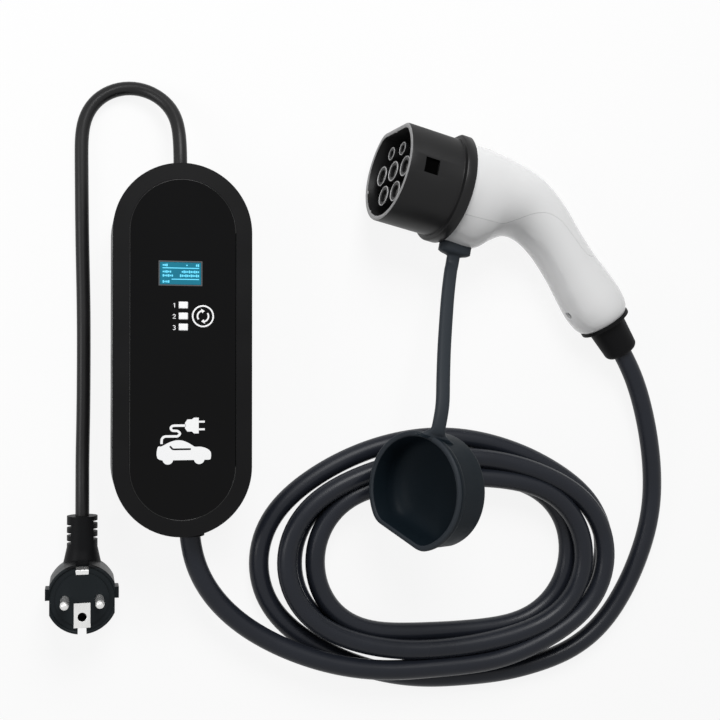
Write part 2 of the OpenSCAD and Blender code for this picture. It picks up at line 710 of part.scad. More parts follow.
// Round of the coil's near side, where both ends of the cable run into the turns
module coil_side() {
    side_r = (coil_half_l * coil_half_l + coil_half_w * coil_half_w - 2 * coil_half_l * coil_end_r)
        / (2 * (coil_half_w - coil_end_r));
    translate([coil_pos[0], coil_pos[1], -1]) intersection() {
        translate([0, side_r - coil_half_w, 0]) cylinder(r = side_r + coil_clearance, h = coil_h + 2);
        translate([-coil_half_l + 8, -coil_half_w - 20, 0])
            cube([2 * coil_half_l - 16, coil_half_w, coil_h + 2]);
    }
}

module cable_coil() {
    color([0.05, 0.05, 0.075]) coil_solid();
}

module cable_lead() {
    color([0.05, 0.05, 0.075]) difference() {
        cord(lead_route, cable_d, 3, 10);
        coil_side();
    }
}

module gun_lead() {
    boot_axis = [for (s = [-44, -30, -12, 6, 20, boot_l + 1, boot_l + 9]) to_world(butt(s))];
    route = concat(boot_axis, gun_route_end);
    color([0.05, 0.05, 0.075]) difference() {
        cord(route, cable_d, 3, 10);
        coil_side();
    }
}

module nose_sleeve() {
    x1 = collar_t + nose_l;
    color([0.06, 0.06, 0.065]) in_gun() difference() {
        union() {
            dee(nose_r, nose_flat, 0, x1, 0);
            dee(collar_r, nose_flat + 2.6, 0, collar_t, -0.5);
            translate([-9, 0, -1.5]) rotate([0, 90, 0]) cylinder(r = 25, h = 10);
        }
        dee(nose_r - nose_wall, nose_flat - nose_wall, 1, x1 + 1, 0);
        translate([-10, 0, -1.5]) rotate([0, 90, 0]) cylinder(r = 22.4, h = 20);
        translate([collar_t + nose_l * 0.6 - latch_size / 2, nose_r - latch_depth, -latch_size / 2])
            cube([latch_size, 10, latch_size]);
    }
}

module carrier_holes() {
    for (p = power_pts) translate([-1, p[0], p[1]]) nose_axis() {
        cylinder(r = power_tube_r + 0.05, h = tow_x - 1.5);
        cylinder(d = power_bore + 1.4, h = tow_x + 10);
    }
    for (p = signal_pts) translate([-1, p[0], p[1]]) nose_axis() {
        cylinder(r = signal_tube_r + 0.05, h = tow_x - 1.5);
        cylinder(d = signal_bore + 1, h = tow_x + 10);
    }
}

module contact_carrier() {
    color([0.05, 0.05, 0.055]) in_gun() difference() {
        union() {
            dee(nose_r - nose_wall - fit_gap, nose_flat - nose_wall - fit_gap, 1, 1 + carrier_t, 0);
            for (p = power_pts) translate([2, p[0], p[1]]) nose_axis() cylinder(d = power_tower_d, h = tow_x - 2);
            for (p = signal_pts) translate([2, p[0], p[1]]) nose_axis() cylinder(d = signal_tower_d, h = tow_x - 2);
        }
        carrier_holes();
    }
}

module power_contacts() {
    color([0.8, 0.75, 0.6]) in_gun() for (p = power_pts) translate([-8, p[0], p[1]]) nose_axis() difference() {
        cylinder(r = power_tube_r, h = tow_x + 5.4);
        translate([0, 0, tow_x - 22]) cylinder(d = power_bore, h = 40);
    }
}

module signal_contacts() {
    color([0.8, 0.75, 0.6]) in_gun() for (p = signal_pts) translate([-8, p[0], p[1]]) nose_axis() difference() {
        cylinder(r = signal_tube_r, h = tow_x + 5.4);
        translate([0, 0, tow_x - 22]) cylinder(d = signal_bore, h = 40);
    }
}

module gun_skin(inset) {
    s = smooth(stations, 2);
    skin([for (q = s) loft_ring(q, inset, 28)]);
}

module gun_hollow() {
    s = smooth(stations, 2);
    keep = [for (i = [0 : len(s) - 4]) s[i]];
    mouth = loft_ring([3, s[0][1], 0, s[0][3], s[0][4]], grip_wall, 28);
    skin(concat([mouth], [for (q = keep) loft_ring(q, grip_wall, 28)]));
}

module gun_shell() {
    difference() {
        gun_skin(0);
        gun_hollow();
        translate(butt(-20)) rotate([0, -90 - bend_tilt, 0]) cylinder(d = boot_d - 5, h = 40);
        grip_screw_holes();
    }
}

module seam_block() {
    rotate([90, 0, 0]) linear_extrude(height = 120, center = true) polygon(seam);
}

module upper_cover() {
    color([0.94, 0.94, 0.94]) in_gun() intersection() {
        gun_shell();
        seam_block();
    }
}

module lower_grip() {
    color([0.92, 0.92, 0.92]) in_gun() difference() {
        gun_shell();
        seam_block();
    }
}

// Frame of the clamp screw: +Z leaves the handle through its underside
module screw_axis() {
    translate(butt(clamp_s)) rotate([0, 180 - bend_tilt, 0]) children();
}

module grip_screw_holes() {
    screw_axis() {
        translate([0, 0, 10]) cylinder(d = 2.8, h = 14);
        translate([0, 0, grip_screw_out - 1.2]) cylinder(d = 4.6, h = 6);
    }
}

module grip_screws() {
    color([0.6, 0.6, 0.62]) in_gun() screw_axis() {
        translate([0, 0, 10]) cylinder(d = 2.4, h = grip_screw_out - 10.6);
        translate([0, 0, grip_screw_out - 1.2]) cylinder(d = 4.4, h = 1);
    }
}

module cable_boot() {
    color([0.04, 0.04, 0.045]) in_gun() translate(butt(0)) rotate([0, -90 - bend_tilt, 0]) rotate_extrude()
    difference() {
        union() {
            translate([0, -9]) square([boot_d / 2 - 2.6, 12]);
            translate([0, 0.02]) square([boot_flange_d / 2, 2.4]);
            polygon([[0, 2], [boot_d / 2 + 0.8, 2], [boot_d / 2 - 0.6, boot_l - 4], [0, boot_l - 4]]);
            translate([boot_d / 2 - 4.6, boot_l - 4]) circle(4);
            translate([0, boot_l - 6]) square([boot_d / 2 - 4.6, 6]);
        }
        translate([-1, -20]) square([cable_d / 2 + 1, 80]);
    }
}

module cable_clamp() {
    color([0.5, 0.5, 0.52]) in_gun() difference() {
        union() {
            translate(butt(clamp_s - 4.5)) rotate([0, -90 - bend_tilt, 0]) cylinder(d = cable_d + 7, h = 9);
            screw_axis() cylinder(d = 7, h = grip_screw_out - 3.2);
        }
        translate(butt(clamp_s - 8)) rotate([0, -90 - bend_tilt, 0]) cylinder(d = cable_d, h = 16);
        screw_axis() translate([0, 0, 10]) cylinder(d = 2.4, h = 20);
    }
}

module gun_cores() {
    ends = [[0, 0], [-contact_pitch, 0], [contact_pitch, 0], [-7.6, 12.5], [7.6, 12.5]];
    starts = [[0, -0.6], [-3.4, -1.8], [3.4, -1.8], [-2.2, 3.2], [2.2, 3.2]];
    color([0.3, 0.35, 0.6]) in_gun() for (k = [0 : 4]) {
        a = butt(-44) + [sin(bend_tilt) * -starts[k][1], starts[k][0], cos(bend_tilt) * starts[k][1]];
        b = [-42, ends[k][0] * 0.5, ends[k][1] * 0.8];
        c = [-8, ends[k][0], ends[k][1]];
        start = [for (s = [0, 4, 9]) a + butt(-s) - butt(0)];
        end = [for (s = [11, 5, 0]) c - [s, 0, 0]];
        skin(tube_rings(smooth(concat(start, [b], end), 2), k < 3 ? 1.4 : 1, 8));
    }
}

module cap_cup() {
    top = cap_floor + cap_depth;
    difference() {
        union() {
            dee(cap_r + cap_wall - cap_step, cap_flat + cap_wall - cap_step, 0, top, 0);
            dee(cap_r + cap_wall, cap_flat + cap_wall, top - cap_rim_h, top, 0);
        }
        dee(cap_r, cap_flat, cap_floor, top + 10, 0);
    }
}

module in_cap() {
    translate(cap_pos) rotate(cap_turn) rotate([0, -90, 0]) rotate([90 + cap_roll, 0, 0]) children();
}

// Strap from the foot under the connector to the rim of the cap
module strap() {
    foot = [for (v = [-30.5, -37.5, -40, -45]) to_world([strap_foot_n, 0, v])];
    root = [for (v = [6, 1.5, 1.6 - cap_wall]) to_cap([strap_x, 0, -cap_r - cap_wall - v])];
    p = smooth(concat(foot, strap_middle, root), 3);
    n = len(p) - 1;
    skin([for (i = [0 : n])
        let (t = tangent(p, i), x = unit(cross([0, 0, 1], t)), y = cross(t, x), f = max(0, min(1, (6 - i) / 3)),
            w = strap_w / 2 + 6 * f + 8 * pow(max(0, 1 - (n - i) / 6), 1.5), h = strap_t / 2 + 2.6 * f)
        [for (c = [[1, -0.6], [1, 0.6], [0.7, 1], [-0.7, 1], [-1, 0.6], [-1, -0.6], [-0.7, -1], [0.7, -1]])
            p[i] + c[0] * w * x + c[1] * h * y]]);
}

module dust_cap() {
    color([0.15, 0.16, 0.19]) {
        in_cap() cap_cup();
        difference() {
            strap();
            in_gun() gun_skin(0);
        }
    }
}

rear_shell();
front_shell();
shell_gasket();
shell_screws();
front_panel();
display_module();
status_lenses();
status_leds();
key_sensor();
front_board();
front_board_screws();
main_board();
board_screws();
power_relays();
fault_coil();
supply_transformer();
storage_capacitors();
input_terminals();
output_terminals();
input_cores();
output_cores();
input_gland();
output_gland();
input_clamp();
output_clamp();
clamp_screws();
mains_cord();
plug_body();
plug_earth_strip();
plug_bridge();
plug_pins();
cable_lead();
cable_coil();
gun_lead();
nose_sleeve();
contact_carrier();
power_contacts();
signal_contacts();
upper_cover();
lower_grip();
grip_screws();
cable_boot();
cable_clamp();
gun_cores();
dust_cap();
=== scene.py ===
"""Looks of a portable vehicle charger: control box, mains lead, charging cable, connector and dust cap.

Sizes are in millimetres in the part's own frame, with +Z up and the long side of the box along Y.
They become metres only where a mesh or a curve is made.
"""
import json
import logging
import math
from dataclasses import dataclass, field
from enum import Enum
from functools import lru_cache
from typing import Callable, ClassVar, Dict, List, Sequence, Tuple, Union

import bmesh
import bpy
from mathutils import Matrix, Vector

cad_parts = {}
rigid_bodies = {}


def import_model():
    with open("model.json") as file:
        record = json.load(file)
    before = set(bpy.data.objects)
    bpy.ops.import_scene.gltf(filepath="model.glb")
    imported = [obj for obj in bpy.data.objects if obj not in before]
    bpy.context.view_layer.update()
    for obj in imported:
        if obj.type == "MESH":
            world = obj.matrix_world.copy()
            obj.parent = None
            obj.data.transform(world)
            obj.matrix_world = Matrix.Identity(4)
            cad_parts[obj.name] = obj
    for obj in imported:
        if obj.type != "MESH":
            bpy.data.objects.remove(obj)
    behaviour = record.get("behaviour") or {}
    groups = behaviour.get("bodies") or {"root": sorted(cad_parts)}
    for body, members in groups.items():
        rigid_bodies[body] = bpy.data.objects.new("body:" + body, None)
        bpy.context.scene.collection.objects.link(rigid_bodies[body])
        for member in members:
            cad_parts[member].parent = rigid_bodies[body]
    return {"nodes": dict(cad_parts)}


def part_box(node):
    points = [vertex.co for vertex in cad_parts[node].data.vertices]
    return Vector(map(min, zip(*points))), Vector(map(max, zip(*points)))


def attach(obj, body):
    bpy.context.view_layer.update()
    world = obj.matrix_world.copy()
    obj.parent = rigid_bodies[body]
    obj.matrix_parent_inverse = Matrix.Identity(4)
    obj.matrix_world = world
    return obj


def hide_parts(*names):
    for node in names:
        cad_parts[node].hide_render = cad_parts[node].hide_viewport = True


LOG = logging.getLogger("charger")
MM = 0.001
BODY = "root"
MERGE = 1e-7  # metres between points that become one
BEVEL_FROM = 35.0  # degrees at which an edge counts as sharp
MIX_A, MIX_B, MIX_RESULT = 6, 7, 2  # colour sockets of a Mix node

Point = Tuple[float, ...]
Color = Tuple[float, float, float]
Inputs = Dict[Union[str, int], object]
Piece, Tree, Node, Socket = bpy.types.Object, bpy.types.NodeTree, bpy.types.Node, bpy.types.NodeSocket


def lerp(a: float, b: float, t: float) -> float:
    """Value a share t of the way from a to b."""
    return a + (b - a) * t


def spline(points: Sequence[Point], steps: int) -> List[Point]:
    """Runs a smooth curve through a list of points of any dimension.

    Args:
        points: Points that the curve passes through.
        steps: Number of steps between two neighbouring points.

    Returns:
        Points of the curve, from the first given point to the last.
    """
    last = len(points) - 1
    out: List[Point] = []
    for i in range(last):
        p0, p1, p2, p3 = (points[min(max(k, 0), last)] for k in (i - 1, i, i + 1, i + 2))
        for k in range(steps):
            t = k / steps
            out.append(tuple(
                0.5 * (2 * b + (c - a) * t + (2 * a - 5 * b + 4 * c - d) * t * t
                       + (3 * b - a - 3 * c + d) * t ** 3)
                for a, b, c, d in zip(p0, p1, p2, p3)))
    out.append(tuple(points[last]))
    return out


def path_length(points: Sequence[Point]) -> float:
    """Length of a line of points."""
    return sum((Vector(b) - Vector(a)).length for a, b in zip(points, points[1:]))


def evenly(points: Sequence[Point], step: float) -> List[Vector]:
    """Spaces points evenly along a line.

    Args:
        points: The line.
        step: Wanted distance between neighbours.

    Returns:
        Points from the first end to the last, about one step apart.
    """
    line = [Vector(p) for p in points]
    count = max(2, round(path_length(points) / step))
    gap = path_length(points) / count
    out = [line[0]]
    walked, target = 0.0, gap
    for a, b in zip(line, line[1:]):
        leg = (b - a).length
        while leg > 0 and walked + leg >= target - 1e-9 and len(out) < count:
            out.append(a.lerp(b, (target - walked) / leg))
            target += gap
        walked += leg
    out.append(line[-1])
    return out


def relaxed(points: Sequence[Vector], passes: int) -> List[Vector]:
    """Takes small kinks out of a line by moving each point towards its neighbours, the ends held.

    Args:
        points: The line.
        passes: How often each point moves.

    Returns:
        The smoothed line.
    """
    line = [p.copy() for p in points]
    for _ in range(passes):
        line = [line[0]] + [0.5 * b + 0.25 * (a + c) for a, b, c in zip(line, line[1:], line[2:])] + [line[-1]]
    return line


def headings(line: Sequence[Point]) -> List[Vector]:
    """Direction of a line at each of its points."""
    ahead, behind = [*line[1:], line[-1]], [line[0], *line[:-1]]
    return [(Vector(b) - Vector(a)).normalized() for a, b in zip(behind, ahead)]


def circle(steps: int) -> List[float]:
    """Angles round a circle, in radians."""
    return [math.tau * k / steps for k in range(steps)]


def turn(roll: float, pitch: float, yaw: float) -> Matrix:
    """Turn about X, then Y, then Z, in degrees."""
    x, y, z = (Matrix.Rotation(math.radians(a), 4, k) for a, k in ((roll, "X"), (pitch, "Y"), (yaw, "Z")))
    return z @ y @ x


def dee(r: float, drop: float, corner: float) -> List[Tuple[float, float]]:
    """D-shaped outline with rounded corners.

    Args:
        r: Radius of its round side.
        drop: How far its flat lies inside the circle.
        corner: Radius of the corners.

    Returns:
        Points of the outline, the flat towards the second axis.
    """
    corner_steps, flat_steps, round_steps = 8, 12, 72
    flat = r - drop
    reach = math.sqrt((r - corner) ** 2 - (flat - corner) ** 2)
    edge = math.atan2(flat - corner, reach)
    points = []
    for k in range(corner_steps + 1):
        a = edge + (math.pi / 2 - edge) * k / corner_steps
        points.append((reach + corner * math.cos(a), flat - corner + corner * math.sin(a)))
    points += [(lerp(reach, -reach, k / flat_steps), flat) for k in range(1, flat_steps)]
    points += [(-px, py) for px, py in reversed(points[:corner_steps + 1])]
    sweep = math.pi + 2 * edge
    for k in range(1, round_steps):
        a = math.pi - edge + sweep * k / round_steps
        points.append((r * math.cos(a), r * math.sin(a)))
    return points


def placed(name: str, data: bpy.types.ID) -> Piece:
    """New object of the scene with its data."""
    made = bpy.data.objects.new(name, data)
    bpy.context.scene.collection.objects.link(made)
    return made


def feed(tree: Tree, node: Node, inputs: Inputs) -> None:
    """Gives inputs of a node, known by name or number, a value or the socket that they are linked from."""
    for name, given in inputs.items():
        if isinstance(given, Socket):
            tree.links.new(given, node.inputs[name])
        else:
            node.inputs[name].default_value = given


def add_node(tree: Tree, kind: str, inputs: Inputs, **settings: object) -> Node:
    """Adds a node to a tree.

    Args:
        tree: The tree.
        kind: Type of the node.
        inputs: Values and sockets that it is fed with.
        settings: Values of its properties.

    Returns:
        The node.
    """
    made = tree.nodes.new(kind)
    for name, value in settings.items():
        setattr(made, name, value)
    feed(tree, made, inputs)
    return made


def open_group(tree: Tree, inputs: Dict[str, str], outputs: Dict[str, str]) -> List[Node]:
    """Gives a node group its sockets.

    Args:
        tree: The group.
        inputs: Kind of each input.
        outputs: Kind of each output.

    Returns:
        The nodes at which the group is entered and left.
    """
    for way, sockets in (("INPUT", inputs), ("OUTPUT", outputs)):
        for name, kind in sockets.items():
            tree.interface.new_socket(name, in_out=way, socket_type=f"NodeSocket{kind}")
    return [tree.nodes.new(kind) for kind in ("NodeGroupInput", "NodeGroupOutput")]


class Grain(Enum):
    """Kinds of surface texture, with how far each is drawn out along X, Y and Z."""

    MOULD = (1.0, 1.0, 1.0)
    BRUSHED = (1.0, 0.04, 1.0)

    @lru_cache(maxsize=None)
    def group(self) -> Tree:
        """Makes fine grain and slow mottling, once for each kind of texture.

        Returns:
            The shared node group, with Height and Mottle as outputs.
        """
        tree = bpy.data.node_groups.new(f"{self.name.lower()}_grain", "ShaderNodeTree")
        given, result = open_group(tree, {"Vector": "Vector", "Grain Scale": "Float", "Mottle Scale": "Float"},
                                   {"Height": "Float", "Mottle": "Float"})
        place = add_node(tree, "ShaderNodeMapping", {"Vector": given.outputs["Vector"], "Scale": self.value})
        for source, target, detail in (("Grain Scale", "Height", 3.0), ("Mottle Scale", "Mottle", 5.0)):
            noise = add_node(tree, "ShaderNodeTexNoise", {
                "Vector": place.outputs["Vector"], "Scale": given.outputs[source], "Detail": detail})
            feed(tree, result, {target: noise.outputs["Fac"]})
        return tree


@dataclass(frozen=True)
class Finish:
    """One surface finish, its colours as linear values."""

    name: str
    slot: str
    color: Color
    tint: Color
    roughness: float
    spread: float = 0.08
    metallic: float = 0.0
    coat: float = 0.0
    specular: float = 0.5
    grain: Grain = Grain.MOULD
    grain_scale: float = 1600.0
    mottle_scale: float = 30.0
    bump: float = 0.06
    glow: float = 0.0

    coat_roughness: ClassVar[float] = 0.04
    least_roughness: ClassVar[float] = 0.02
    mottle_range: ClassVar[Tuple[float, float]] = (0.3, 0.7)
    grain_depth: ClassVar[float] = 0.0002

    @lru_cache(maxsize=None)
    def material(self) -> bpy.types.Material:
        """Makes the material from the shared grain group, on first use.

        Returns:
            The material of this finish.
        """
        made = bpy.data.materials.new(self.name)
        made.use_nodes = True
        tree = made.node_tree
        place = add_node(tree, "ShaderNodeTexCoord", {})
        grain = add_node(tree, "ShaderNodeGroup", {
            "Vector": place.outputs["Object"], "Grain Scale": self.grain_scale,
            "Mottle Scale": self.mottle_scale}, node_tree=self.grain.group())
        mottle = grain.outputs["Mottle"]
        mix = add_node(tree, "ShaderNodeMix", {
            0: mottle, MIX_A: (*self.color, 1.0), MIX_B: (*self.tint, 1.0)}, data_type="RGBA")
        colour = mix.outputs[MIX_RESULT]
        low, high = self.mottle_range
        gloss = add_node(tree, "ShaderNodeMapRange", {
            "Value": mottle, "From Min": low, "From Max": high,
            "To Min": max(self.least_roughness, self.roughness - self.spread),
            "To Max": min(1.0, self.roughness + self.spread)})
        bump = add_node(tree, "ShaderNodeBump", {
            "Strength": self.bump, "Distance": self.grain_depth, "Height": grain.outputs["Height"]})
        shader = tree.nodes["Principled BSDF"]
        feed(tree, shader, {
            "Base Color": colour, "Roughness": gloss.outputs["Result"], "Normal": bump.outputs["Normal"],
            "Metallic": self.metallic, "Coat Weight": self.coat, "Coat Roughness": self.coat_roughness,
            "Specular IOR Level": self.specular})
        if self.glow:
            feed(tree, shader, {"Emission Color": colour, "Emission Strength": self.glow})
        return made


SHELL = Finish("satin_black_shell", "case", (0.006, 0.006, 0.0063), (0.009, 0.009, 0.0095), 0.4, specular=0.07,
               bump=0.12)
PANEL = Finish("gloss_black_panel", "panel", (0.002, 0.002, 0.0022), (0.003, 0.003, 0.0033), 0.1, 0.04,
               coat=0.02, specular=0.07, bump=0.0, mottle_scale=18.0)
DISPLAY = Finish("display_glass", "display", (0.006, 0.1, 0.16), (0.01, 0.14, 0.2), 0.2, coat=0.05,
                 specular=0.1, bump=0.0, glow=0.6)
DISPLAY_FRAME = Finish("display_frame", "display", (0.07, 0.075, 0.08), (0.1, 0.1, 0.105), 0.4, specular=0.3)
DISPLAY_LINE = Finish("display_lines", "display", (0.08, 0.5, 0.72), (0.16, 0.62, 0.8), 0.4, specular=0.2,
                      bump=0.0, glow=0.6)
# White lenses and status LEDs with the same faint painted glow as the print, which brightens them.
GLOWING_LENS = Finish("white_lens_painted_glow", "lens", (0.86, 0.87, 0.88), (0.9, 0.9, 0.9), 0.3, bump=0.02, glow=0.12)
# White print with a faint painted glow that brightens it; the ink gives no light of its own.
GLOWING_PRINT = Finish("white_print_painted_glow", "lens", (0.84, 0.85, 0.86), (0.9, 0.9, 0.9), 0.5, bump=0.03, glow=0.12)
RUBBER = Finish("soft_rubber", "rubber", (0.004, 0.004, 0.0044), (0.007, 0.007, 0.0076), 0.5, specular=0.07,
                bump=0.15)
CAP = Finish("slate_rubber", "cap_rubber", (0.0045, 0.0082, 0.0115), (0.0075, 0.0122, 0.0168), 0.48,
             specular=0.06, bump=0.15)
# Lighter copy of the same slate rubber: painted light on the rim front and the strap, the faces turned to the
# light.
CAP_PAINTED_LIGHT = Finish("slate_rubber_painted_light", "cap_rubber", (0.022, 0.027, 0.033), (0.03, 0.036, 0.043), 0.45,
                 specular=0.1, bump=0.12)
JACKET = Finish("cable_jacket", "cable", (0.0112, 0.0132, 0.0188), (0.016, 0.0184, 0.0255), 0.34, specular=0.2,
                bump=0.1)
MAINS = Finish("mains_jacket", "cable", (0.009, 0.009, 0.0095), (0.016, 0.016, 0.0165), 0.34, specular=0.2,
               bump=0.08)
EDGE = Finish("gloss_black_edge", "panel", (0.012, 0.012, 0.012), (0.016, 0.016, 0.016), 0.16, 0.04, coat=0.2,
              specular=0.2, bump=0.0)
PLUG = Finish("charcoal_plug", "plug", (0.0085, 0.011, 0.0125), (0.013, 0.0165, 0.019), 0.42, specular=0.09,
              bump=0.12)
# Black of the plug's grip, used also as painted shade inside the earth strip's hole.
GRIP_BLACK_AND_BORE_SHADE = Finish("plug_grip_black_and_bore_shade", "plug", (0.004, 0.0042, 0.0048), (0.007, 0.0072, 0.008), 0.45,
                   specular=0.07, bump=0.15)
NICKEL = Finish("nickel_plate", "nickel", (0.72, 0.72, 0.71), (0.8, 0.8, 0.79), 0.24, 0.1, metallic=0.7,
                grain=Grain.BRUSHED, bump=0.05)
STEEL = Finish("zinc_steel", "steel", (0.4, 0.4, 0.41), (0.5, 0.5, 0.5), 0.35, 0.1, metallic=1.0,
               grain=Grain.BRUSHED)
CONTACT = Finish("silver_contact", "contact", (0.78, 0.77, 0.75), (0.86, 0.85, 0.83), 0.22, 0.08, metallic=0.7,
                 grain=Grain.BRUSHED, bump=0.03)
NOSE = Finish("satin_black_nose", "nose", (0.0065, 0.0065, 0.0068), (0.0105, 0.0105, 0.011), 0.36, specular=0.2,
              bump=0.1)
# Near black with almost no gloss for the latch recess floor: painted shade in the recess of the black nose.
RECESS_SHADE = Finish("painted_shade_recess", "nose", (0.0008, 0.0008, 0.0008), (0.0012, 0.0012, 0.0012), 0.8, specular=0.01,
                bump=0.0)
# Light grey for the front face of the black nose: a painted highlight for light caught on its front edges.
NOSE_FRONT_HIGHLIGHT = Finish("painted_highlight_nose_front", "nose", (0.22, 0.22, 0.225), (0.28, 0.28, 0.28), 0.4)
# Pale grey rings at the socket mouths: a painted highlight for light on the socket edges.
SOCKET_HIGHLIGHT = Finish("painted_highlight_socket_ring", "nose", (0.36, 0.36, 0.365), (0.42, 0.42, 0.42), 0.35)
HANDLE = Finish("gloss_white_handle", "handle", (0.78, 0.785, 0.79), (0.82, 0.82, 0.82), 0.2, 0.05, coat=0.15,
                bump=0.02, mottle_scale=12.0)
BOARD = Finish("green_board", "board", (0.02, 0.11, 0.05), (0.03, 0.15, 0.07), 0.4)
PARTS = Finish("dark_parts", "parts", (0.02, 0.022, 0.03), (0.035, 0.04, 0.05), 0.45)
INSERT = Finish("grey_insert", "insert", (0.1, 0.1, 0.105), (0.14, 0.14, 0.145), 0.5)
COPPER = Finish("copper_cores", "copper", (0.28, 0.11, 0.05), (0.36, 0.15, 0.07), 0.45)


@dataclass
class Draft:
    """Mesh in the making, in millimetres."""

    verts: List[Vector] = field(default_factory=list)
    faces: List[Tuple[int, ...]] = field(default_factory=list)

    def loft(self, rings: Sequence[Sequence[Vector]], closed: bool = True) -> "Draft":
        """Joins rings of points into a skin.

        Args:
            rings: Rings with the same number of points, in order.
            closed: Whether the two end rings are filled.

        Returns:
            This draft.
        """
        base, n = len(self.verts), len(rings[0])
        for ring in rings:
            self.verts.extend(Vector(p) for p in ring)
        for i in range(len(rings) - 1):
            for k in range(n):
                a, b = base + i * n, base + (i + 1) * n
                m = (k + 1) % n
                self.faces.append((a + k, a + m, b + m, b + k))
        if closed:
            self.faces.append(tuple(base + k for k in reversed(range(n))))
            self.faces.append(tuple(base + (len(rings) - 1) * n + k for k in range(n)))
        return self

    def prism(self, outline: Sequence[Point], low: float, high: float) -> "Draft":
        """Raises a flat outline from z low to z high."""
        return self.loft([[Vector((x, y, z)) for x, y in outline] for z in (low, high)])

    def stroke(self, line: Sequence[Point], width: float, low: float, high: float) -> "Draft":
        """Raises a drawn line of even width.

        Args:
            line: Points of the line, in plan.
            width: Width of the line.
            low: Level of its underside.
            high: Level of its top.

        Returns:
            This draft.
        """
        rings = []
        for p, along in zip(line, headings(line)):
            side = Vector((-along.y, along.x)) * width / 2
            left, right = Vector(p) + side, Vector(p) - side
            rings.append([Vector((*q, z)) for q, z in ((left, low), (right, low), (right, high), (left, high))])
        return self.loft(rings)

    def piece(self, name: str, place: Matrix = Matrix.Identity(4)) -> Piece:
        """Makes the mesh object, in metres.

        Args:
            name: Name of the piece.
            place: Where the draft's own frame lies in the part, in millimetres.

        Returns:
            The new object, at the origin, with its place in its mesh.
        """
        mesh = bpy.data.meshes.new(name)
        mesh.from_pydata([(place @ v) * MM for v in self.verts], [], self.faces)
        shape = bmesh.new()
        shape.from_mesh(mesh)
        bmesh.ops.remove_doubles(shape, verts=shape.verts, dist=MERGE)
        bmesh.ops.recalc_face_normals(shape, faces=shape.faces)
        shape.to_mesh(mesh)
        shape.free()
        return placed(name, mesh)


def settle(piece: Piece) -> None:
    """Turns a piece's modifiers into plain mesh."""
    graph = bpy.context.evaluated_depsgraph_get()
    mesh = bpy.data.meshes.new_from_object(piece.evaluated_get(graph))
    piece.modifiers.clear()
    piece.data = mesh


def rounded(piece: Piece, width: float, segments: int = 2) -> None:
    """Rounds the sharp edges of a piece.

    Args:
        piece: The piece.
        width: Width of the rounding, in millimetres.
        segments: Faces across it.
    """
    bevel = piece.modifiers.new("edges", "BEVEL")
    bevel.width = width * MM
    bevel.segments = segments
    bevel.limit_method = "ANGLE"
    bevel.angle_limit = math.radians(BEVEL_FROM)
    weigh = piece.modifiers.new("shading", "WEIGHTED_NORMAL")
    weigh.keep_sharp = True
    settle(piece)


def smooth(piece: Piece, angle: float = 40.0) -> None:
    """Shades a piece smooth, with edges sharper than an angle left sharp."""
    piece.data.shade_smooth()
    piece.data.set_sharp_from_angle(angle=math.radians(angle))


def cut(piece: Piece, tool: Piece, operation: str) -> None:
    """Cuts a piece with another shape, which is then removed.

    Args:
        piece: The piece that is cut.
        tool: The shape it is cut with.
        operation: DIFFERENCE or INTERSECT.
    """
    change = piece.modifiers.new("cut", "BOOLEAN")
    change.operation = operation
    change.solver = "EXACT"
    change.object = tool
    settle(piece)
    bpy.data.objects.remove(tool)


def paint(piece: Piece, finish: Finish) -> None:
    """Gives a piece one finish."""
    piece.data.materials.clear()
    piece.data.materials.append(finish.material())


def paint_zone(piece: Piece, finish: Finish, inside: Callable[[Vector], bool]) -> None:
    """Gives the faces of one zone of a piece another finish.

    Args:
        piece: A painted piece.
        finish: Finish of the zone.
        inside: Tells from a face's middle, in millimetres, whether it is in the zone.
    """
    piece.data.materials.append(finish.material())
    slot = len(piece.data.materials) - 1
    for face in piece.data.polygons:
        if inside(face.center / MM):
            face.material_index = slot


def dress(piece: Piece, finish: Finish, *nodes: str) -> Piece:
    """Paints a finished piece, sets it on the body and lets it stand for CAD nodes.

    Args:
        piece: The piece.
        finish: Its finish.
        nodes: CAD nodes that it stands for.

    Returns:
        The piece.
    """
    paint(piece, finish)
    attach(piece, BODY)
    if nodes:
        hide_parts(*nodes)
    LOG.info("%s: %s", piece.name, finish.name)
    return piece


class Shape(Enum):
    """Shapes that are repeated over a set of points."""

    RING = "ring"
    BAR = "bar"


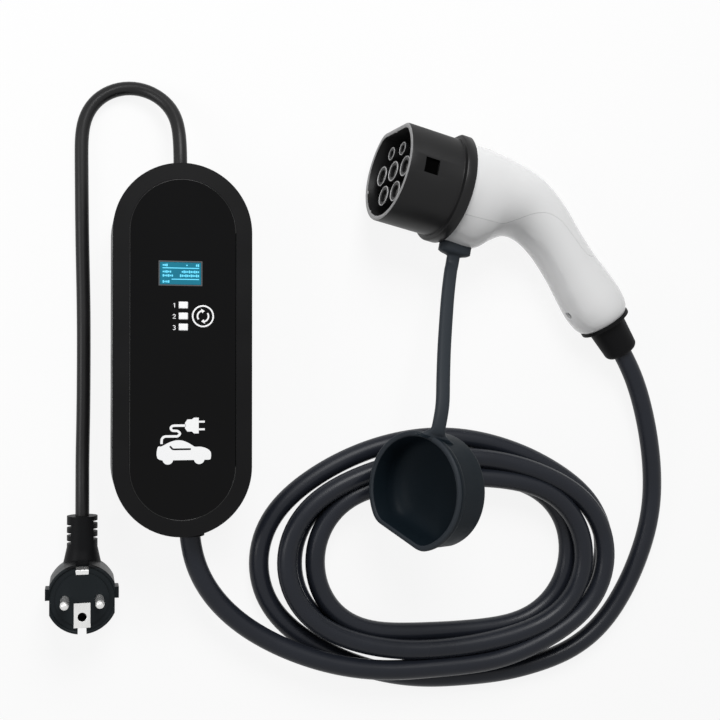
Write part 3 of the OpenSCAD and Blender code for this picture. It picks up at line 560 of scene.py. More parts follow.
@dataclass
class Repeat:
    """Set of like shapes on points, made with Geometry Nodes."""

    name: str
    shape: Shape
    facing: Vector
    wire: float = 0.06
    ring_steps: int = 48
    wire_steps: int = 8
    spots: List[Tuple[Vector, Vector]] = field(default_factory=list)

    def add(self, spot: Vector, size: Sequence[float]) -> None:
        """Adds one shape with its middle and its size, in millimetres."""
        self.spots.append((Vector(spot), Vector(size)))

    def piece(self, finish: Finish) -> Piece:
        """Builds the set as one plain mesh.

        Args:
            finish: Finish of the shapes.

        Returns:
            The new object.
        """
        mesh = bpy.data.meshes.new(self.name)
        mesh.from_pydata([p * MM for p, _ in self.spots], [], [])
        sizes = mesh.attributes.new("size", "FLOAT_VECTOR", "POINT")
        for item, (_, size) in zip(sizes.data, self.spots):
            item.vector = size * MM
        made = placed(self.name, mesh)
        change = made.modifiers.new("repeat", "NODES")
        change.node_group = self._tree(finish.material())
        values = {"Facing": tuple(self.facing), "Wire": self.wire}
        for item in change.node_group.interface.items_tree:
            if item.in_out == "INPUT" and item.name in values:
                change[item.identifier] = values[item.name]
        settle(made)
        return made

    def _tree(self, material: bpy.types.Material) -> Tree:
        """Makes the node tree that sets the shape on every point, at the point's own size.

        Args:
            material: Material of the shapes.

        Returns:
            The new node tree.
        """
        tree = bpy.data.node_groups.new(f"{self.name}_repeat", "GeometryNodeTree")
        given, result = open_group(tree, {"Geometry": "Geometry", "Facing": "Vector", "Wire": "Float"},
                                   {"Geometry": "Geometry"})
        if self.shape is Shape.RING:
            ring, section = (
                add_node(tree, "GeometryNodeCurvePrimitiveCircle", {"Resolution": steps, "Radius": r})
                for steps, r in ((self.ring_steps, 1.0), (self.wire_steps, given.outputs["Wire"])))
            shape = add_node(tree, "GeometryNodeCurveToMesh", {
                "Curve": ring.outputs["Curve"], "Profile Curve": section.outputs["Curve"]})
        else:
            shape = add_node(tree, "GeometryNodeMeshCube", {})
        sizes = add_node(tree, "GeometryNodeInputNamedAttribute", {"Name": "size"}, data_type="FLOAT_VECTOR")
        aim = add_node(tree, "FunctionNodeAlignRotationToVector", {"Vector": given.outputs["Facing"]}, axis="Z")
        on_points = add_node(tree, "GeometryNodeInstanceOnPoints", {
            "Points": given.outputs["Geometry"], "Instance": shape.outputs["Mesh"],
            "Rotation": aim.outputs["Rotation"], "Scale": sizes.outputs["Attribute"]})
        real = add_node(tree, "GeometryNodeRealizeInstances", {"Geometry": on_points.outputs["Instances"]})
        coat = add_node(tree, "GeometryNodeSetMaterial", {
            "Geometry": real.outputs["Geometry"], "Material": material})
        feed(tree, result, {"Geometry": coat.outputs["Geometry"]})
        return tree


@dataclass
class Frame:
    """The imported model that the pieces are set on."""

    nodes: Dict[str, Piece]
    merge: float = 2e-6
    flat_angle: float = 0.4
    sharp_angle: float = 30.0

    def polished(self, node: str, finish: Finish, edge: float = 0.0) -> Piece:
        """Stands a smooth copy with rounded edges in for a CAD node.

        Args:
            node: Name of the node.
            finish: Finish of the copy.
            edge: Width of the rounding, in millimetres, or 0 for none.

        Returns:
            The copy.
        """
        mesh = self.nodes[node].data.copy()
        shape = bmesh.new()
        shape.from_mesh(mesh)
        bmesh.ops.remove_doubles(shape, verts=shape.verts, dist=self.merge)
        bmesh.ops.dissolve_limit(shape, angle_limit=math.radians(self.flat_angle), verts=shape.verts,
                                 edges=shape.edges)
        shape.to_mesh(mesh)
        shape.free()
        made = placed(f"{node}_skin", mesh)
        smooth(made, self.sharp_angle)
        if edge:
            rounded(made, edge)
        return dress(made, finish, node)

    def coat(self, finish: Finish, *nodes: str) -> None:
        """Gives CAD nodes that keep their own mesh a finish."""
        for node in nodes:
            paint(self.nodes[node], finish)
            LOG.info("%s: %s", node, finish.name)


@dataclass
class Cord:
    """Free cord with a round jacket."""

    name: str
    nodes: Tuple[str, ...]
    finish: Finish
    diameter: float
    round_steps: int = 6

    def lay(self, route: Sequence[Vector]) -> Piece:
        """Makes the cord along its middle line.

        Args:
            route: Points of the line.

        Returns:
            The curve object.
        """
        curve = bpy.data.curves.new(self.name, "CURVE")
        curve.dimensions = "3D"
        curve.bevel_depth = self.diameter / 2 * MM
        curve.bevel_resolution = self.round_steps
        curve.use_fill_caps = True
        line = curve.splines.new("POLY")
        line.points.add(len(route) - 1)
        for item, p in zip(line.points, route):
            item.co = (*(Vector(p) * MM), 1.0)
        line.use_smooth = True
        return dress(placed(self.name, curve), self.finish, *self.nodes)


@dataclass
class Connector:
    """Vehicle connector: white handle, black nose with seven sockets, boot.

    In its own frame n runs along the nose from the back of the collar, and v is up, towards the flat.
    A row of nose_profile is n, radius and corner radius, and one of spigot_profile n and radius.
    A station of the handle is n, v, tilt in degrees, half height and half width.
    The seam is a line of n and v.
    """

    place: Matrix = field(
        default_factory=lambda: Matrix.Translation((161.3, 98.7, 33.75)) @ turn(94, -9.2, 167.6))
    tilt: float = 43.0
    butt_at: Tuple[float, float] = (-124.0, -53.0)
    collar: float = 7.0
    nose: float = 35.0
    flat_drop: float = 5.0
    # Depth of the nose's front face that gets the painted highlight.
    rim: float = 0.55
    nose_profile: Tuple[Point, ...] = (
        (0, 33.0, 10), (0.3, 33.7, 10), (1.0, 34, 10), (6.1, 34, 10), (6.7, 33.7, 10), (7, 33.1, 10),
        (7, 31.7, 10), (7.3, 31.2, 10), (8, 31, 10), (40.9, 31, 10), (41.7, 30.75, 10), (42, 30.2, 9.6),
        (42, 28.7, 8.8), (41.7, 28.2, 8.4), (41.2, 28, 8.4), (1.2, 28, 8.4), (1, 27.6, 8.4))
    spigot_profile: Tuple[Point, ...] = ((1, 22.6), (-9, 22.6), (-9, 24.8), (-0.2, 24.8))
    spigot_drop: float = 1.5
    latch_share: float = 0.6
    latch_half: float = 4.5
    latch_depth: Tuple[float, float] = (29.2, 40.0)
    towers: float = 38.5
    pitch: float = 16.0
    signal_at: Tuple[float, float] = (7.6, 12.5)
    power_r: float = 6.2
    signal_r: float = 4.2
    ring_inset: float = 0.4
    around: int = 72
    handle_edge: float = 0.45
    hole_r: float = 2.3
    hole_from_butt: float = 17.0
    hole_span: Tuple[float, float] = (12.0, 30.0)
    seam_gap: float = 0.12
    seam_half: float = 60.0
    stations: Tuple[Point, ...] = (
        (0, -1.5, 0, 30.2, 29.2), (-8, -1.6, 0, 31.4, 28.6), (-16.5, -1.6, 0, 32, 27.2),
        (-25, -0.6, 2, 30.3, 25.2), (-33, 1.4, 6, 27.2, 23.2), (-41.5, 3.1, 10, 24.1, 21.6),
        (-50, 3.1, 15, 21.8, 20.3),
        (-58.5, 0.7, 21, 20, 19.5), (-68.5, -5, 29, 18.2, 18.8), (-79.5, -13.9, 38, 16.7, 18),
        (-92.5, -25.5, 41.5, 17, 17.6), (-103.5, -35.1, 43, 18.7, 18), (-112.6, -43.2, 43, 19.6, 18.5),
        (-118.4, -48.2, 43, 19, 18.2), (-121.7, -51.1, 43, 17.8, 17.2), (-124, -53, 43, 16, 15.6))
    seam: Tuple[Point, ...] = (
        (2, -19.5), (-12, -19), (-24, -17.8), (-31, -16.2), (-36, -13.6), (-41, -10.4), (-47, -6.6), (-53, -3.6),
        (-60, -2.2), (-68, -3.4), (-76, -7.6), (-84, -13), (-92, -18.4), (-99, -18.4), (-107, -9))
    seam_close: Tuple[Point, ...] = ((-107, 60), (2, 60))

    def axis_point(self, out: float) -> Vector:
        """Point on the handle's axis, a way out beyond its butt, in the part's frame."""
        a = math.radians(self.tilt)
        n, v = self.butt_at
        return self.place @ Vector((n - out * math.cos(a), 0, v - out * math.sin(a)))

    def latch_middle(self) -> float:
        """Place of the latch recess along the nose."""
        return self.collar + self.latch_share * self.nose

    def handle_body(self, name: str) -> Piece:
        """Makes the whole outer form of the handle, run smoothly through its stations.

        Args:
            name: Name of the piece.

        Returns:
            The uncut handle.
        """
        rings = []
        for n, v, tilt, a, b in spline(self.stations, 6):
            up = Vector((-math.sin(math.radians(tilt)), 0, math.cos(math.radians(tilt))))
            rings.append([Vector((n, 0, v)) + math.cos(q) * a * up + math.sin(q) * b * Vector((0, 1, 0))
                          for q in circle(self.around)])
        return Draft().loft(rings).piece(name, self.place)

    def seam_block(self, gap: float) -> Piece:
        """Makes the block above the seam, which the handle is cut with.

        Args:
            gap: How far the seam is moved out across itself.

        Returns:
            The block.
        """
        line = spline(self.seam, 4)
        moved = [Vector(p) + gap * Vector((-along.y, along.x)) for p, along in zip(line, headings(line))]
        outline = moved + [Vector(p) for p in self.seam_close]
        sides = [[Vector((p.x, y, p.y)) for p in outline] for y in (-self.seam_half, self.seam_half)]
        return Draft().loft(sides).piece("seam_block", self.place)

    def screw_hole(self) -> Piece:
        """Makes the round shape of the screw hole in the underside of the grip.

        Returns:
            The shape that the grip is cut with.
        """
        a = math.radians(180 - self.tilt)
        out = Vector((math.sin(a), 0, math.cos(a)))
        side = Vector((0, 1, 0))
        up = out.cross(side)
        start = self.place.inverted() @ self.axis_point(-self.hole_from_butt)
        rings = [[start + out * d + self.hole_r * (math.cos(q) * side + math.sin(q) * up)
                  for q in circle(32)] for d in self.hole_span]
        return Draft().loft(rings).piece("screw_hole", self.place)

    def build(self, frame: Frame) -> List[Piece]:
        """Makes and dresses the connector.

        Args:
            frame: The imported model.

        Returns:
            The pieces that the cable ends in.
        """
        upper = self.handle_body("handle_upper")
        cut(upper, self.seam_block(0.0), "INTERSECT")
        lower = self.handle_body("handle_lower")
        cut(lower, self.seam_block(self.seam_gap), "DIFFERENCE")
        cut(lower, self.screw_hole(), "DIFFERENCE")
        for piece, node in ((upper, "upper_cover"), (lower, "lower_grip")):
            smooth(piece, angle=35)
            rounded(piece, self.handle_edge)
            dress(piece, HANDLE, node)
        self.sleeve()
        frame.polished("contact_carrier", NOSE, edge=0.3)
        frame.polished("power_contacts", CONTACT)
        frame.polished("signal_contacts", CONTACT)
        self.painted_socket_highlights()
        frame.coat(STEEL, "grip_screws")
        frame.coat(INSERT, "cable_clamp")
        frame.coat(COPPER, "gun_cores")
        return [upper, lower, frame.polished("cable_boot", RUBBER, edge=0.3)]

    def sleeve(self) -> None:
        """Makes the black D-shaped nose with its collar, spigot and latch recess, its front face light grey as a
        painted highlight and the recess floor near black as painted shade.
        """
        rings = [[Vector((x, u, v)) for u, v in dee(r, self.flat_drop, corner)]
                 for x, r, corner in self.nose_profile]
        _, back_r, back_corner = self.nose_profile[0]
        ways = [math.atan2(v, u) for u, v in dee(back_r, self.flat_drop, back_corner)]
        for x, r in self.spigot_profile:
            rings.append([Vector((x, r * math.cos(a), r * math.sin(a) - self.spigot_drop)) for a in ways])
        made = Draft().loft(rings + rings[:1], closed=False).piece("nose_sleeve_skin", self.place)
        middle, half = self.latch_middle(), self.latch_half
        square = ((-half, -half), (half, -half), (half, half), (-half, half))
        sides = [[Vector((middle + dx, y, dz)) for dx, dz in square] for y in self.latch_depth]
        cut(made, Draft().loft(sides).piece("latch_recess", self.place), "DIFFERENCE")
        smooth(made, angle=32)
        dress(made, NOSE, "nose_sleeve")
        back = self.place.inverted()
        front = self.collar + self.nose
        # The front face of the nose gets a painted highlight in light grey.
        paint_zone(made, NOSE_FRONT_HIGHLIGHT, lambda p: (back @ p).x > front - self.rim)
        # The floor of the latch recess gets painted shade, near black.
        paint_zone(made, RECESS_SHADE, lambda p: self.in_latch(back @ p))

    def in_latch(self, spot: Vector) -> bool:
        """Whether a point, in the connector's own frame, is in the latch recess."""
        beyond = self.latch_half + 0.2
        deep = -0.4 < spot.y - self.latch_depth[0] < 1.2
        return deep and abs(spot.z) < beyond and abs(spot.x - self.latch_middle()) < beyond

    def painted_socket_highlights(self) -> None:
        """Makes a pale ring round the mouth of each socket, a painted highlight for light caught on the socket
        edges.
        """
        axis = (self.place.to_3x3() @ Vector((1, 0, 0))).normalized()
        # The rings are painted highlights, one for each socket.
        rings = Repeat("painted_socket_highlights", Shape.RING, axis)
        half = self.pitch / 2
        row = half * math.sqrt(3)
        aside, above = self.signal_at
        power = [(0, 0), (self.pitch, 0), (-self.pitch, 0), (half, -row), (-half, -row)]
        spots = [(u, v, self.power_r) for u, v in power]
        spots += [(u, above, self.signal_r) for u in (aside, -aside)]
        for u, v, r in spots:
            rings.add(self.place @ Vector((self.towers, u, v)), [r - self.ring_inset] * 3)
        made = rings.piece(SOCKET_HIGHLIGHT)
        smooth(made)
        dress(made, SOCKET_HIGHLIGHT)


@dataclass
class ChargingCable:
    """Cable from the box through its coil to the connector.

    The start and the finish are laid point by point. Between them, turns gives the rank and the height
    of the cable at each quarter turn. The innermost turn, of rank 0, is given by its half length, half
    width and end radius, and turn_growth by how much these grow with each rank.
    """

    diameter: float = 12.0
    step: float = 4.0
    passes: int = 24
    middle: Tuple[float, float] = (165.0, -128.0)
    inner_turn: Point = (86.0, 47.5, 46.0)
    turn_growth: Point = (11.4, 9.7, 1.4)
    quarter_steps: int = 32
    into_handle: Point = (34, 26, 20, 6, -12, -30, -42)
    start: Tuple[Point, ...] = (
        (5, -90, 24), (5, -100, 24), (5, -110, 24), (7.8, -124, 22.8), (14.4, -138, 20.4), (26, -153, 18.6),
        (43, -167, 18.1), (63, -178, 18.2), (84, -186.6, 18.3), (106, -192.4, 18.3), (128, -195.4, 18.3))
    turns: Tuple[Tuple[float, float], ...] = (
        (2.2, 18.3), (1.9, 18.3), (1.6, 18.3), (1.5, 18.3), (0.8, 18.3), (0.6, 18.3), (0.3, 18.0), (-0.15, 12.0),
        (0.0, 6.1), (0.1, 6.1), (0.9, 6.1), (1.0, 6.1), (1.4, 6.1), (2.3, 6.1), (2.9, 6.1), (2.8, 6.1),
        (3.0, 6.1))
    finish: Tuple[Point, ...] = (
        (190, -205.1, 6.1), (210.9, -202.6, 6.1), (230.7, -198.7, 6.1), (249.4, -193.4, 6.1), (264, -185.2, 6.1),
        (276.8, -174.2, 6.1), (288.2, -157.9, 6.1), (296.8, -142.5, 6.1), (303.3, -126.4, 6.1),
        (308.5, -110.2, 6.1), (310.3, -95, 6.5), (309.8, -80, 7.6), (307, -60.5, 9.6), (302, -40.8, 12),
        (295.5, -20.5, 13.9))

    def reach(self, angle: float, rank: float) -> float:
        """Distance of a turn from the coil's middle.

        Args:
            angle: Direction, in radians.
            rank: Place of the turn, 0 innermost and 3 outermost.

        Returns:
            The distance, on an oval of two end arcs and two side arcs.
        """
        a, b, r = (size + growth * rank for size, growth in zip(self.inner_turn, self.turn_growth))
        e = a - r
        big = (a * a + b * b - 2 * a * r) / (2 * (b - r))
        k = big - b
        joint = math.atan2(r * k / (big - r), e + r * e / (big - r))
        c, s = abs(math.cos(angle)), abs(math.sin(angle))
        if math.atan2(s, c) < joint:
            return e * c + math.sqrt(r * r - e * e * s * s)
        return math.sqrt(big * big - k * k * c * c) - k * s

    def route(self, connector: Connector) -> List[Vector]:
        """Middle line of the cable, from inside the box to inside the connector.

        Args:
            connector: The connector it ends in.

        Returns:
            Points about one step apart.
        """
        coil = []
        last = len(self.turns) - 1
        lead_in, lead_out = 8, 7
        for step in range(lead_in, last * self.quarter_steps + lead_out):
            q = min(step / self.quarter_steps, last)
            i = min(int(q), last - 1)
            (r0, z0), (r1, z1) = self.turns[i], self.turns[i + 1]
            angle = math.radians(-90 + 90 * step / self.quarter_steps)
            d = self.reach(angle, lerp(r0, r1, q - i))
            coil.append((self.middle[0] + d * math.cos(angle), self.middle[1] + d * math.sin(angle),
                         lerp(z0, z1, q - i)))
        end = [tuple(connector.axis_point(s)) for s in self.into_handle]
        line = spline(list(self.start), 6) + coil + spline(list(self.finish) + end, 6)
        return relaxed(evenly(line, self.step), self.passes)

    def build(self, connector: Connector) -> Tuple[Piece, float]:
        """Makes the cable.

        Args:
            connector: The connector it ends in.

        Returns:
            The cable and its length in metres.
        """
        route = self.route(connector)
        cord = Cord("charging_cable", ("cable_lead", "cable_coil", "gun_lead"), JACKET, self.diameter)
        return cord.lay(route), path_length(route) * MM


@dataclass
class MainsLead:
    """Mains cord with its moulded plug, its points laid from inside the box to inside the grip."""

    diameter: float = 8.0
    step: float = 3.0
    passes: int = 12
    grip_from: float = -123.0
    bore_at: Tuple[float, float] = (-55.0, -150.0)
    bore_r: float = 2.7
    strip_skin: float = 0.4
    points: Tuple[Point, ...] = (
        (0, 92, 24), (0, 108.5, 24), (0, 114, 24), (-0.1, 120, 22.9), (-0.4, 128.5, 20.0), (-1.9, 138.1, 16.0),
        (-6.7, 146.5, 12.0), (-14, 152.6, 8.8), (-23.1, 156.0, 6.4), (-32.9, 156.0, 5.0), (-42, 152.6, 4.4),
        (-49.4, 146.5, 4.3), (-54.2, 138.1, 4.3), (-56, 128.5, 4.3), (-56, 116, 4.3),
        (-55.5, 70, 4.3), (-54.5, 20, 4.3), (-54.5, -30, 4.3), (-55, -62, 4.6), (-55, -74, 6.4), (-55, -82, 8.6),
        (-55, -88, 9.2), (-55, -94, 9.2), (-55, -104, 9.2), (-55, -118, 9.2))

    def build(self) -> Tuple[Piece, float]:
        """Makes the cord.

        Returns:
            The cord and its length in metres.
        """
        route = relaxed(evenly(spline(self.points, 8), self.step), self.passes)
        cord = Cord("mains_lead", ("mains_cord",), MAINS, self.diameter)
        return cord.lay(route), path_length(route) * MM

    def plug(self, frame: Frame) -> List[Piece]:
        """Dresses the plug.

        Args:
            frame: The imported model.

        Returns:
            The plug's pieces.
        """
        body = frame.polished("plug_body", PLUG, edge=0.5)
        paint_zone(body, GRIP_BLACK_AND_BORE_SHADE, lambda p: p.y > self.grip_from)
        frame.coat(INSERT, "plug_bridge")
        strip = frame.polished("plug_earth_strip", NICKEL, edge=0.3)
        bore = Vector(self.bore_at)
        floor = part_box("plug_earth_strip")[1].z / MM - self.strip_skin
        # The inside of the earth strip's hole gets painted shade in the grip's black.
        paint_zone(strip, GRIP_BLACK_AND_BORE_SHADE, lambda p: p.z < floor and (p.xy - bore).length < self.bore_r)
        return [body, strip, frame.polished("plug_pins", NICKEL)]


@dataclass
class ControlBox:
    """Control box with its gloss panel, display, status windows and signs.

    The signs are drawn in plan on the panel, whose surface is at the level top.
    """

    top: float = 45.7
    ink: float = 0.06
    bead_r: float = 0.22
    bead_inset: float = 0.1
    display_at: Tuple[float, float] = (-1.6, 43.0)
    display_size: Tuple[float, float] = (23.2, 12.8)
    border_w: float = 0.6
    rule_w: float = 0.5
    block_w: float = 0.72
    block_pitch: float = 1.0
    key_at: Tuple[float, float] = (11.0, 19.0)
    key_r: float = 5.8
    key_wire: float = 0.075
    arrow_r: float = 3.1
    arrow_w: float = 0.9
    arrow_head: Tuple[float, float] = (1.3, 0.6)
    number_x: float = -5.1
    number_w: float = 0.42
    window_y: Tuple[float, float, float] = (25.0, 18.7, 12.4)
    car_roof: Tuple[Point, ...] = (
        (-14.7, -59.4), (-14.7, -57.5), (-14.0, -54.5), (-12.4, -54.3), (-11.1, -53.8), (-8.5, -52.4),
        (-5.6, -51.3), (-2.7, -50.9), (0.2, -51.3), (3.1, -52.6), (5.5, -54.1), (6.8, -54.7), (9.5, -54.7),
        (12.4, -55.4), (14.5, -56.6), (15.6, -58.3), (15.5, -61.4), (14.6, -62.1))
    car_window: Tuple[Point, ...] = ((-7.4, -54.2), (-6.7, -55.0), (-5.9, -55.9), (-4.9, -56.0), (4.3, -56.0))
    car_wheels: Tuple[float, float] = (9.0, -8.5)
    wheel_r: float = 3.0
    sill: float = -62.1
    sign_cord: Tuple[Point, ...] = (
        (-12, -52.9), (-12, -51.6), (-11.7, -49.9), (-10.3, -48.8), (-8, -48.7), (-5, -48.7), (-3.1, -48.6),
        (-1.8, -47.2), (-3.1, -45.8), (-4.6, -45.6), (-6.1, -45.4), (-6.9, -44.1), (-6, -42.9), (-4, -42.7),
        (-1, -42.7), (1.6, -42.7))
    sign_cord_w: float = 1.35
    sign_plug: Tuple[Point, ...] = (
        (1.0, -41.2), (2.3, -39.3), (4.9, -39.2), (6.05, -38.3), (8.7, -38.3), (8.7, -47.2), (6.05, -47.2),
        (4.9, -46.1), (2.3, -46.1), (1.0, -44.3))
    sign_pins: Tuple[float, float] = (-40.6, -44.9)
    sign_pin_span: Tuple[float, float] = (8.6, 12.1)
    sign_pin_w: float = 1.1

    def build(self, frame: Frame) -> None:
        """Dresses the case, the parts inside it and the panel.

        Args:
            frame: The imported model.
        """
        for node, finish, edge in (
                ("rear_shell", SHELL, 0.3), ("front_shell", SHELL, 0.3), ("front_panel", PANEL, 0.25),
                ("display_module", DISPLAY, 0.15), ("status_lenses", GLOWING_LENS, 0.3), ("input_gland", RUBBER, 0.3),
                ("output_gland", RUBBER, 0.3)):
            frame.polished(node, finish, edge)
        frame.coat(RUBBER, "shell_gasket")
        frame.coat(STEEL, "shell_screws", "front_board_screws", "board_screws", "clamp_screws")
        frame.coat(GLOWING_LENS, "status_leds")
        frame.coat(BOARD, "front_board", "main_board", "input_terminals", "output_terminals")
        frame.coat(PARTS, "power_relays", "fault_coil", "storage_capacitors", "key_sensor")
        frame.coat(COPPER, "supply_transformer", "input_cores", "output_cores")
        frame.coat(INSERT, "input_clamp", "output_clamp")
        self.panel_edge()
        self.display()
        self.key_sign()
        self.window_numbers()
        self.charge_sign()

    def panel_edge(self) -> None:
        """Thin gloss bead round the edge of the panel."""
        low, high = (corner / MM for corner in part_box("front_panel"))
        r = (high.x - low.x) / 2
        straight = (high.y - low.y) / 2 - r
        steps, up = 128, Vector((0, 0, 1))
        rings = []
        for k in range(steps + 1):
            a = math.tau * k / steps
            out = Vector((math.cos(a), math.sin(a), 0))
            spot = Vector((0, math.copysign(straight, math.sin(a)), self.top)) + (r - self.bead_inset) * out
            rings.append([spot + self.bead_r * (math.cos(q) * out + math.sin(q) * up)
                          for q in circle(10)])
        bead = Draft().loft(rings, closed=False).piece("panel_edge")
        smooth(bead, angle=60)
        dress(bead, EDGE)

    def display(self) -> None:
        """Frame, rules and rows of plain blocks of the display."""
        x, y = self.display_at
        w, h = self.display_size
        level = self.top + self.ink / 2
        border = Repeat("display_border", Shape.BAR, Vector((0, 0, 1)))
        thick = self.border_w
        for side in (-1, 1):
            border.add(Vector((x, y + side * (h + thick) / 2, level)), (w + 2 * thick, thick, self.ink))
            border.add(Vector((x + side * (w + thick) / 2, y, level)), (thick, h, self.ink))
        dress(border.piece(DISPLAY_FRAME), DISPLAY_FRAME)
        lines = Repeat("display_lines", Shape.BAR, Vector((0, 0, 1)))
        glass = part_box("display_module")[1].z / MM + self.ink / 2
        left, right = x - w / 2 + 1.6, x + w / 2 - 1.2
        for low, high, row in ((left, right, 3.0), (left + 5, right, -3.3)):
            lines.add(Vector(((low + high) / 2, y + row, glass)), (high - low, self.rule_w, self.ink))
        blocks = [(left + self.block_pitch * k, 1.1, row)
                  for row, count in ((4.6, 3), (0.9, 5), (-1.3, 6), (-4.7, 4)) for k in range(count)]
        blocks += [(right - 0.8 - self.block_pitch * k, 1.2, row)
                   for row, count in ((0.9, 10), (-1.3, 11)) for k in range(count)]
        blocks += [(x + 3.2, 1.0, 4.6), (right - 1.8, 1.2, 4.6), (right - 0.8, 1.2, 4.6)]
        for k, (at, tall, row) in enumerate(blocks):
            uneven = 0.3 * (k % 3 - 1)
            lines.add(Vector((at + 0.4, y + row, glass)), (self.block_w, tall + uneven, self.ink))
        dress(lines.piece(DISPLAY_LINE), DISPLAY_LINE)

    def key_sign(self) -> None:
        """Ring of the touch key with a turning sign of two arrows."""
        spot = Vector((*self.key_at, self.top))
        ring = Repeat("key_ring", Shape.RING, Vector((0, 0, 1)), self.key_wire)
        ring.add(spot, (self.key_r, self.key_r, self.key_r * 0.12))
        piece = ring.piece(GLOWING_PRINT)
        smooth(piece)
        dress(piece, GLOWING_PRINT)
        arrows = Draft()
        low, high = self.top, self.top + self.ink
        half, tip = self.arrow_head
        for start in (215, 35):
            arc = [(self.arrow_r, math.radians(start - 11 * k)) for k in range(11)]
            end = arc[-1][1]
            head = [(self.arrow_r - half, end), (self.arrow_r + half, end), (self.arrow_r, end - tip)]
            shaft, point = ([(spot.x + r * math.cos(a), spot.y + r * math.sin(a)) for r, a in line]
                            for line in (arc, head))
            arrows.stroke(shaft, self.arrow_w, low, high)
            arrows.prism(point, low, high)
        dress(arrows.piece("key_arrows"), GLOWING_PRINT)

    def window_numbers(self) -> None:
        """Plain numbers 1 to 3 beside the status windows."""
        digits = (
            ((-0.5, 0.7), (0.2, 1.2), (0.2, -1.2)),
            ((-0.75, 0.6), (-0.45, 1.1), (0.25, 1.15), (0.65, 0.6), (0.4, 0.05), (-0.8, -1.1), (0.8, -1.1)),
            ((-0.7, 1.05), (0.2, 1.15), (0.6, 0.65), (0.3, 0.15), (-0.15, 0.05), (0.4, -0.1), (0.7, -0.6),
             (0.2, -1.15), (-0.75, -1.05)))
        marks = Draft()
        for row, digit in zip(self.window_y, digits):
            line = [(self.number_x + px, row + py) for px, py in digit]
            marks.stroke(line, self.number_w, self.top, self.top + self.ink)
        dress(marks.piece("window_numbers"), GLOWING_PRINT)

    def charge_sign(self) -> None:
        """Printed car with a cord that loops up to a two-pin plug."""
        low, high = self.top, self.top + self.ink
        outline = spline(self.car_roof, 4)
        for wheel in self.car_wheels:
            outline += [(wheel + self.wheel_r * math.cos(a), self.sill + 0.6 - self.wheel_r * math.sin(a))
                        for a in (math.radians(12 + 156 * k / 16) for k in range(17))]
        outline += [(-13.2, self.sill + 0.4), (-14.3, self.sill + 1.2)]
        sign = Draft().prism(outline, low, high)
        sign.stroke(spline(self.sign_cord, 5), self.sign_cord_w, low, high)
        sign.prism(self.sign_plug, low, high)
        for pin in self.sign_pins:
            sign.stroke([(x, pin) for x in self.sign_pin_span], self.sign_pin_w, low, high)
        dress(sign.piece("charge_sign"), GLOWING_PRINT)
        slit = Draft().stroke(self.car_window, 1.0, high, high + self.ink / 2)
        dress(slit.piece("sign_window"), PANEL)


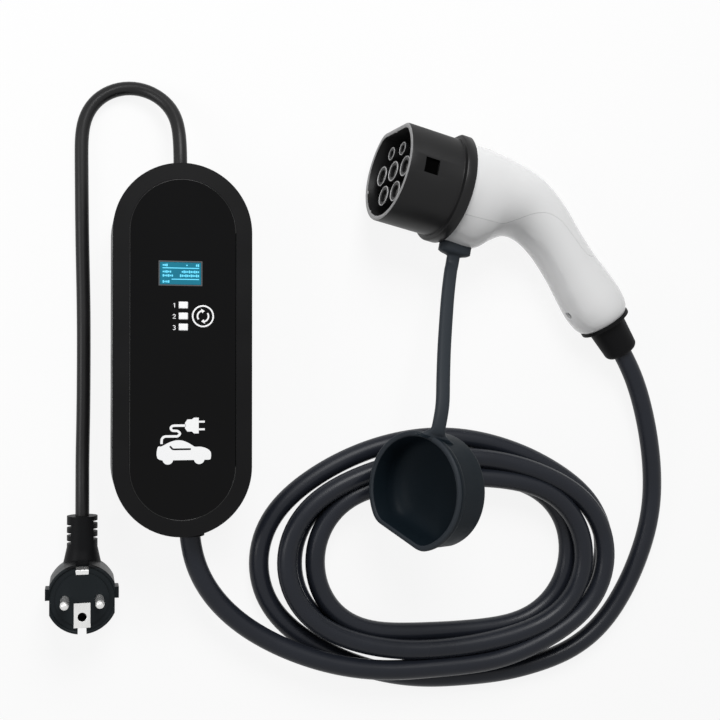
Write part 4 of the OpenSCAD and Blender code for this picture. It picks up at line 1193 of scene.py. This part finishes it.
@dataclass
class DustCap:
    """Rubber cap on its strap.

    A row of the profile is depth and radius, from the back over the rim and down the bowl inside.
    The strap runs from its foot under the connector's collar through the points of middle to its root.
    """

    place: Matrix = field(
        default_factory=lambda: Matrix.Translation((149.4, -81.4, 52.7)) @ turn(0, -57, -2)
        @ turn(0, -90, 0) @ turn(68, 0, 0))
    flat_drop: float = 5.0
    mouth_r: float = 31.4
    corner_share: float = 0.35
    profile: Tuple[Point, ...] = (
        (0, 30.6), (0.25, 32.2), (0.9, 33.1), (1.9, 33.4), (18.6, 33.4), (19.4, 33.6), (20.4, 34.2),
        (21.4, 34.6), (23.9, 34.7), (24.7, 34.4), (25, 33.8), (25, 32.4), (24.8, 31.8), (24.2, 31.4),
        (13, 31.2), (9, 30.4), (6.4, 28.6), (4.6, 25.6), (3.5, 21), (3, 15), (2.8, 8))
    # The rim front and everything beyond cap_reach, the strap, get painted light.
    rim_span: Tuple[float, float] = (23.9, 25.1)
    cap_reach: float = 34.8
    foot_n: float = -10.5
    foot_line: Point = (-30.5, -37.5, -40, -45)
    root_x: float = 22.0
    root_line: Point = (-40.2, -35.7, -33.0)
    middle: Tuple[Point, ...] = (
        (160.2, 47, 38.4), (156.3, 33, 45.4), (152.6, 17, 53), (148.9, 0, 61.2), (145.9, -16, 68.8),
        (143.5, -31, 74.8))
    strap_w: float = 8.0
    strap_t: float = 4.4
    strap_steps: int = 6
    foot_spread: Tuple[float, float] = (6.0, 2.6)
    root_spread: float = 8.0

    def build(self, connector: Connector) -> None:
        """Makes the cap with its strap as one piece.

        Args:
            connector: The connector that the strap is held on.
        """
        rings = [[self.place @ Vector((x, u, v))
                  for u, v in dee(r, self.flat_drop * r / self.mouth_r, self.corner_share * r)]
                 for x, r in self.profile]
        made = Draft().loft(rings).loft(self.strap(connector)).piece("dust_cap_rubber")
        smooth(made, angle=50)
        dress(made, CAP, "dust_cap")
        back = self.place.inverted()
        # The front of the rim and the strap get a lighter copy of the rubber, as painted light.
        paint_zone(made, CAP_PAINTED_LIGHT, lambda p: self.in_painted_light(back @ p))

    def strap(self, connector: Connector) -> List[List[Vector]]:
        """Lays the strap from its foot on the connector to its root on the cap.

        Args:
            connector: The connector that the strap is held on.

        Returns:
            Cross-sections of the strap, thick at the foot and spread at the root.
        """
        foot = [tuple(connector.place @ Vector((self.foot_n, 0, v))) for v in self.foot_line]
        root = [tuple(self.place @ Vector((self.root_x, 0, v))) for v in self.root_line]
        line = [Vector(p) for p in spline(foot + list(self.middle) + root, self.strap_steps)]
        last = len(line) - 1
        rings = []
        for i, (p, along) in enumerate(zip(line, headings(line))):
            side = Vector((0, 0, 1)).cross(along).normalized()
            up = along.cross(side)
            at_foot = min(1.0, max(0.0, 2 - i / self.strap_steps))
            at_root = max(0.0, 1 - (last - i) / (2 * self.strap_steps)) ** 1.5
            w = self.strap_w / 2 + self.foot_spread[0] * at_foot + self.root_spread * at_root
            h = self.strap_t / 2 + self.foot_spread[1] * at_foot
            rings.append([p + w * self._soft(math.cos(q)) * side + h * self._soft(math.sin(q)) * up
                          for q in circle(24)])
        return rings

    def in_painted_light(self, spot: Vector) -> bool:
        """Whether a point, in the cap's own frame, is on the front of its rim or on the strap, where the rubber
        is painted lighter as painted light.
        """
        low, high = self.rim_span
        return low < spot.x < high or spot.yz.length > self.cap_reach

    @staticmethod
    def _soft(t: float) -> float:
        """Squares up a round section a little."""
        return math.copysign(abs(t) ** 0.7, t)


@dataclass(frozen=True)
class Lamp:
    """Soft square lamp, its power in watts."""

    name: str
    spot: Point
    size: float
    power: float


@dataclass
class Studio:
    """Pale floor, soft light and the camera."""

    eye: Point = (-56.4, -13.0, 699.6)
    target: Point = (113.5, -5.0, 0.0)
    lens: float = 57.6
    lamps: Tuple[Lamp, ...] = (
        Lamp("key_lamp", (80, 620, 800), 500, 7.5), Lamp("side_lamp", (-620, 60, 480), 380, 1.8))
    lamps_at: Point = (100, -20, 0)
    surround: float = 0.22
    floor_half: float = 3000.0
    floor_level: float = -0.2
    floor_grey: float = 0.85
    floor_roughness: float = 0.9
    floor_white: float = 0.88

    def camera(self) -> None:
        """Camera at the photograph's angle, with +Y up in the picture."""
        data = bpy.data.cameras.new("camera")
        data.lens = self.lens
        data.sensor_width = 36.0
        eye, target = Vector(self.eye) * MM, Vector(self.target) * MM
        back = (eye - target).normalized()
        right = Vector((0, 1, 0)).cross(back).normalized()
        up = back.cross(right)
        made = placed("camera", data)
        made.matrix_world = Matrix.Translation(eye) @ Matrix((right, up, back)).transposed().to_4x4()
        bpy.context.scene.camera = made

    def light(self) -> None:
        """Two soft lamps and an even pale surround."""
        for lamp in self.lamps:
            data = bpy.data.lights.new(lamp.name, "AREA")
            data.size = lamp.size * MM
            data.energy = lamp.power
            aim = (Vector(self.lamps_at) - Vector(lamp.spot)).to_track_quat("-Z", "Y")
            placed(lamp.name, data).matrix_world = (
                Matrix.Translation(Vector(lamp.spot) * MM) @ aim.to_matrix().to_4x4())
        world = bpy.data.worlds.new("surround")
        world.use_nodes = True
        tree = world.node_tree
        soft = tree.nodes["Background"]
        feed(tree, soft, {"Color": (1, 1, 1, 1), "Strength": self.surround})
        white = add_node(tree, "ShaderNodeBackground", {"Color": (1, 1, 1, 1)})
        mix = add_node(tree, "ShaderNodeMixShader", {
            "Fac": self._shows_backdrop(tree), 1: soft.outputs["Background"], 2: white.outputs["Background"]})
        feed(tree, tree.nodes["World Output"], {"Surface": mix.outputs["Shader"]})
        bpy.context.scene.world = world

    @staticmethod
    def _shows_backdrop(tree: Tree) -> Socket:
        """Marks the rays that see the backdrop as white.

        Args:
            tree: Node tree of the floor or the world.

        Returns:
            Socket that is 1 for camera, glossy and transmission rays.
        """
        path = tree.nodes.new("ShaderNodeLightPath")
        seen = path.outputs["Is Camera Ray"]
        for ray in ("Is Glossy Ray", "Is Transmission Ray"):
            most = add_node(tree, "ShaderNodeMath", {0: seen, 1: path.outputs[ray]}, operation="MAXIMUM")
            seen = most.outputs["Value"]
        return seen

    def floor(self) -> None:
        """Floor that looks white and keeps a soft shadow."""
        half = self.floor_half
        corners = ((-half, -half), (half, -half), (half, half), (-half, half))
        made = Draft([Vector((x, y, self.floor_level)) for x, y in corners], [(0, 1, 2, 3)]).piece("floor")
        look = bpy.data.materials.new("pale_floor")
        look.use_nodes = True
        tree = look.node_tree
        shader = tree.nodes["Principled BSDF"]
        feed(tree, shader, {"Base Color": (*[self.floor_grey] * 3, 1), "Roughness": self.floor_roughness})
        white = add_node(tree, "ShaderNodeEmission", {})
        share = add_node(tree, "ShaderNodeMath", {0: self._shows_backdrop(tree), 1: self.floor_white},
                         operation="MULTIPLY")
        mix = add_node(tree, "ShaderNodeMixShader", {
            "Fac": share.outputs["Value"], 1: shader.outputs["BSDF"], 2: white.outputs["Emission"]})
        feed(tree, tree.nodes["Material Output"], {"Surface": mix.outputs["Shader"]})
        made.data.materials.append(look)


def main() -> None:
    """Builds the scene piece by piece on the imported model."""
    logging.basicConfig(level=logging.INFO, format="%(name)s: %(message)s")
    for item in list(bpy.data.objects):
        bpy.data.objects.remove(item)
    frame = Frame(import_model()["nodes"])
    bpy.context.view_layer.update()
    bpy.context.scene.view_settings.view_transform = "Standard"
    studio = Studio()
    studio.camera()
    connector, mains, cable = Connector(), MainsLead(), ChargingCable()
    lead, lead_length = mains.build()
    cord, cord_length = cable.build(connector)
    ControlBox().build(frame)
    plug = mains.plug(frame)
    gun = connector.build(frame)
    DustCap().build(connector)
    studio.light()
    studio.floor()


if __name__ == "__main__":
    main()
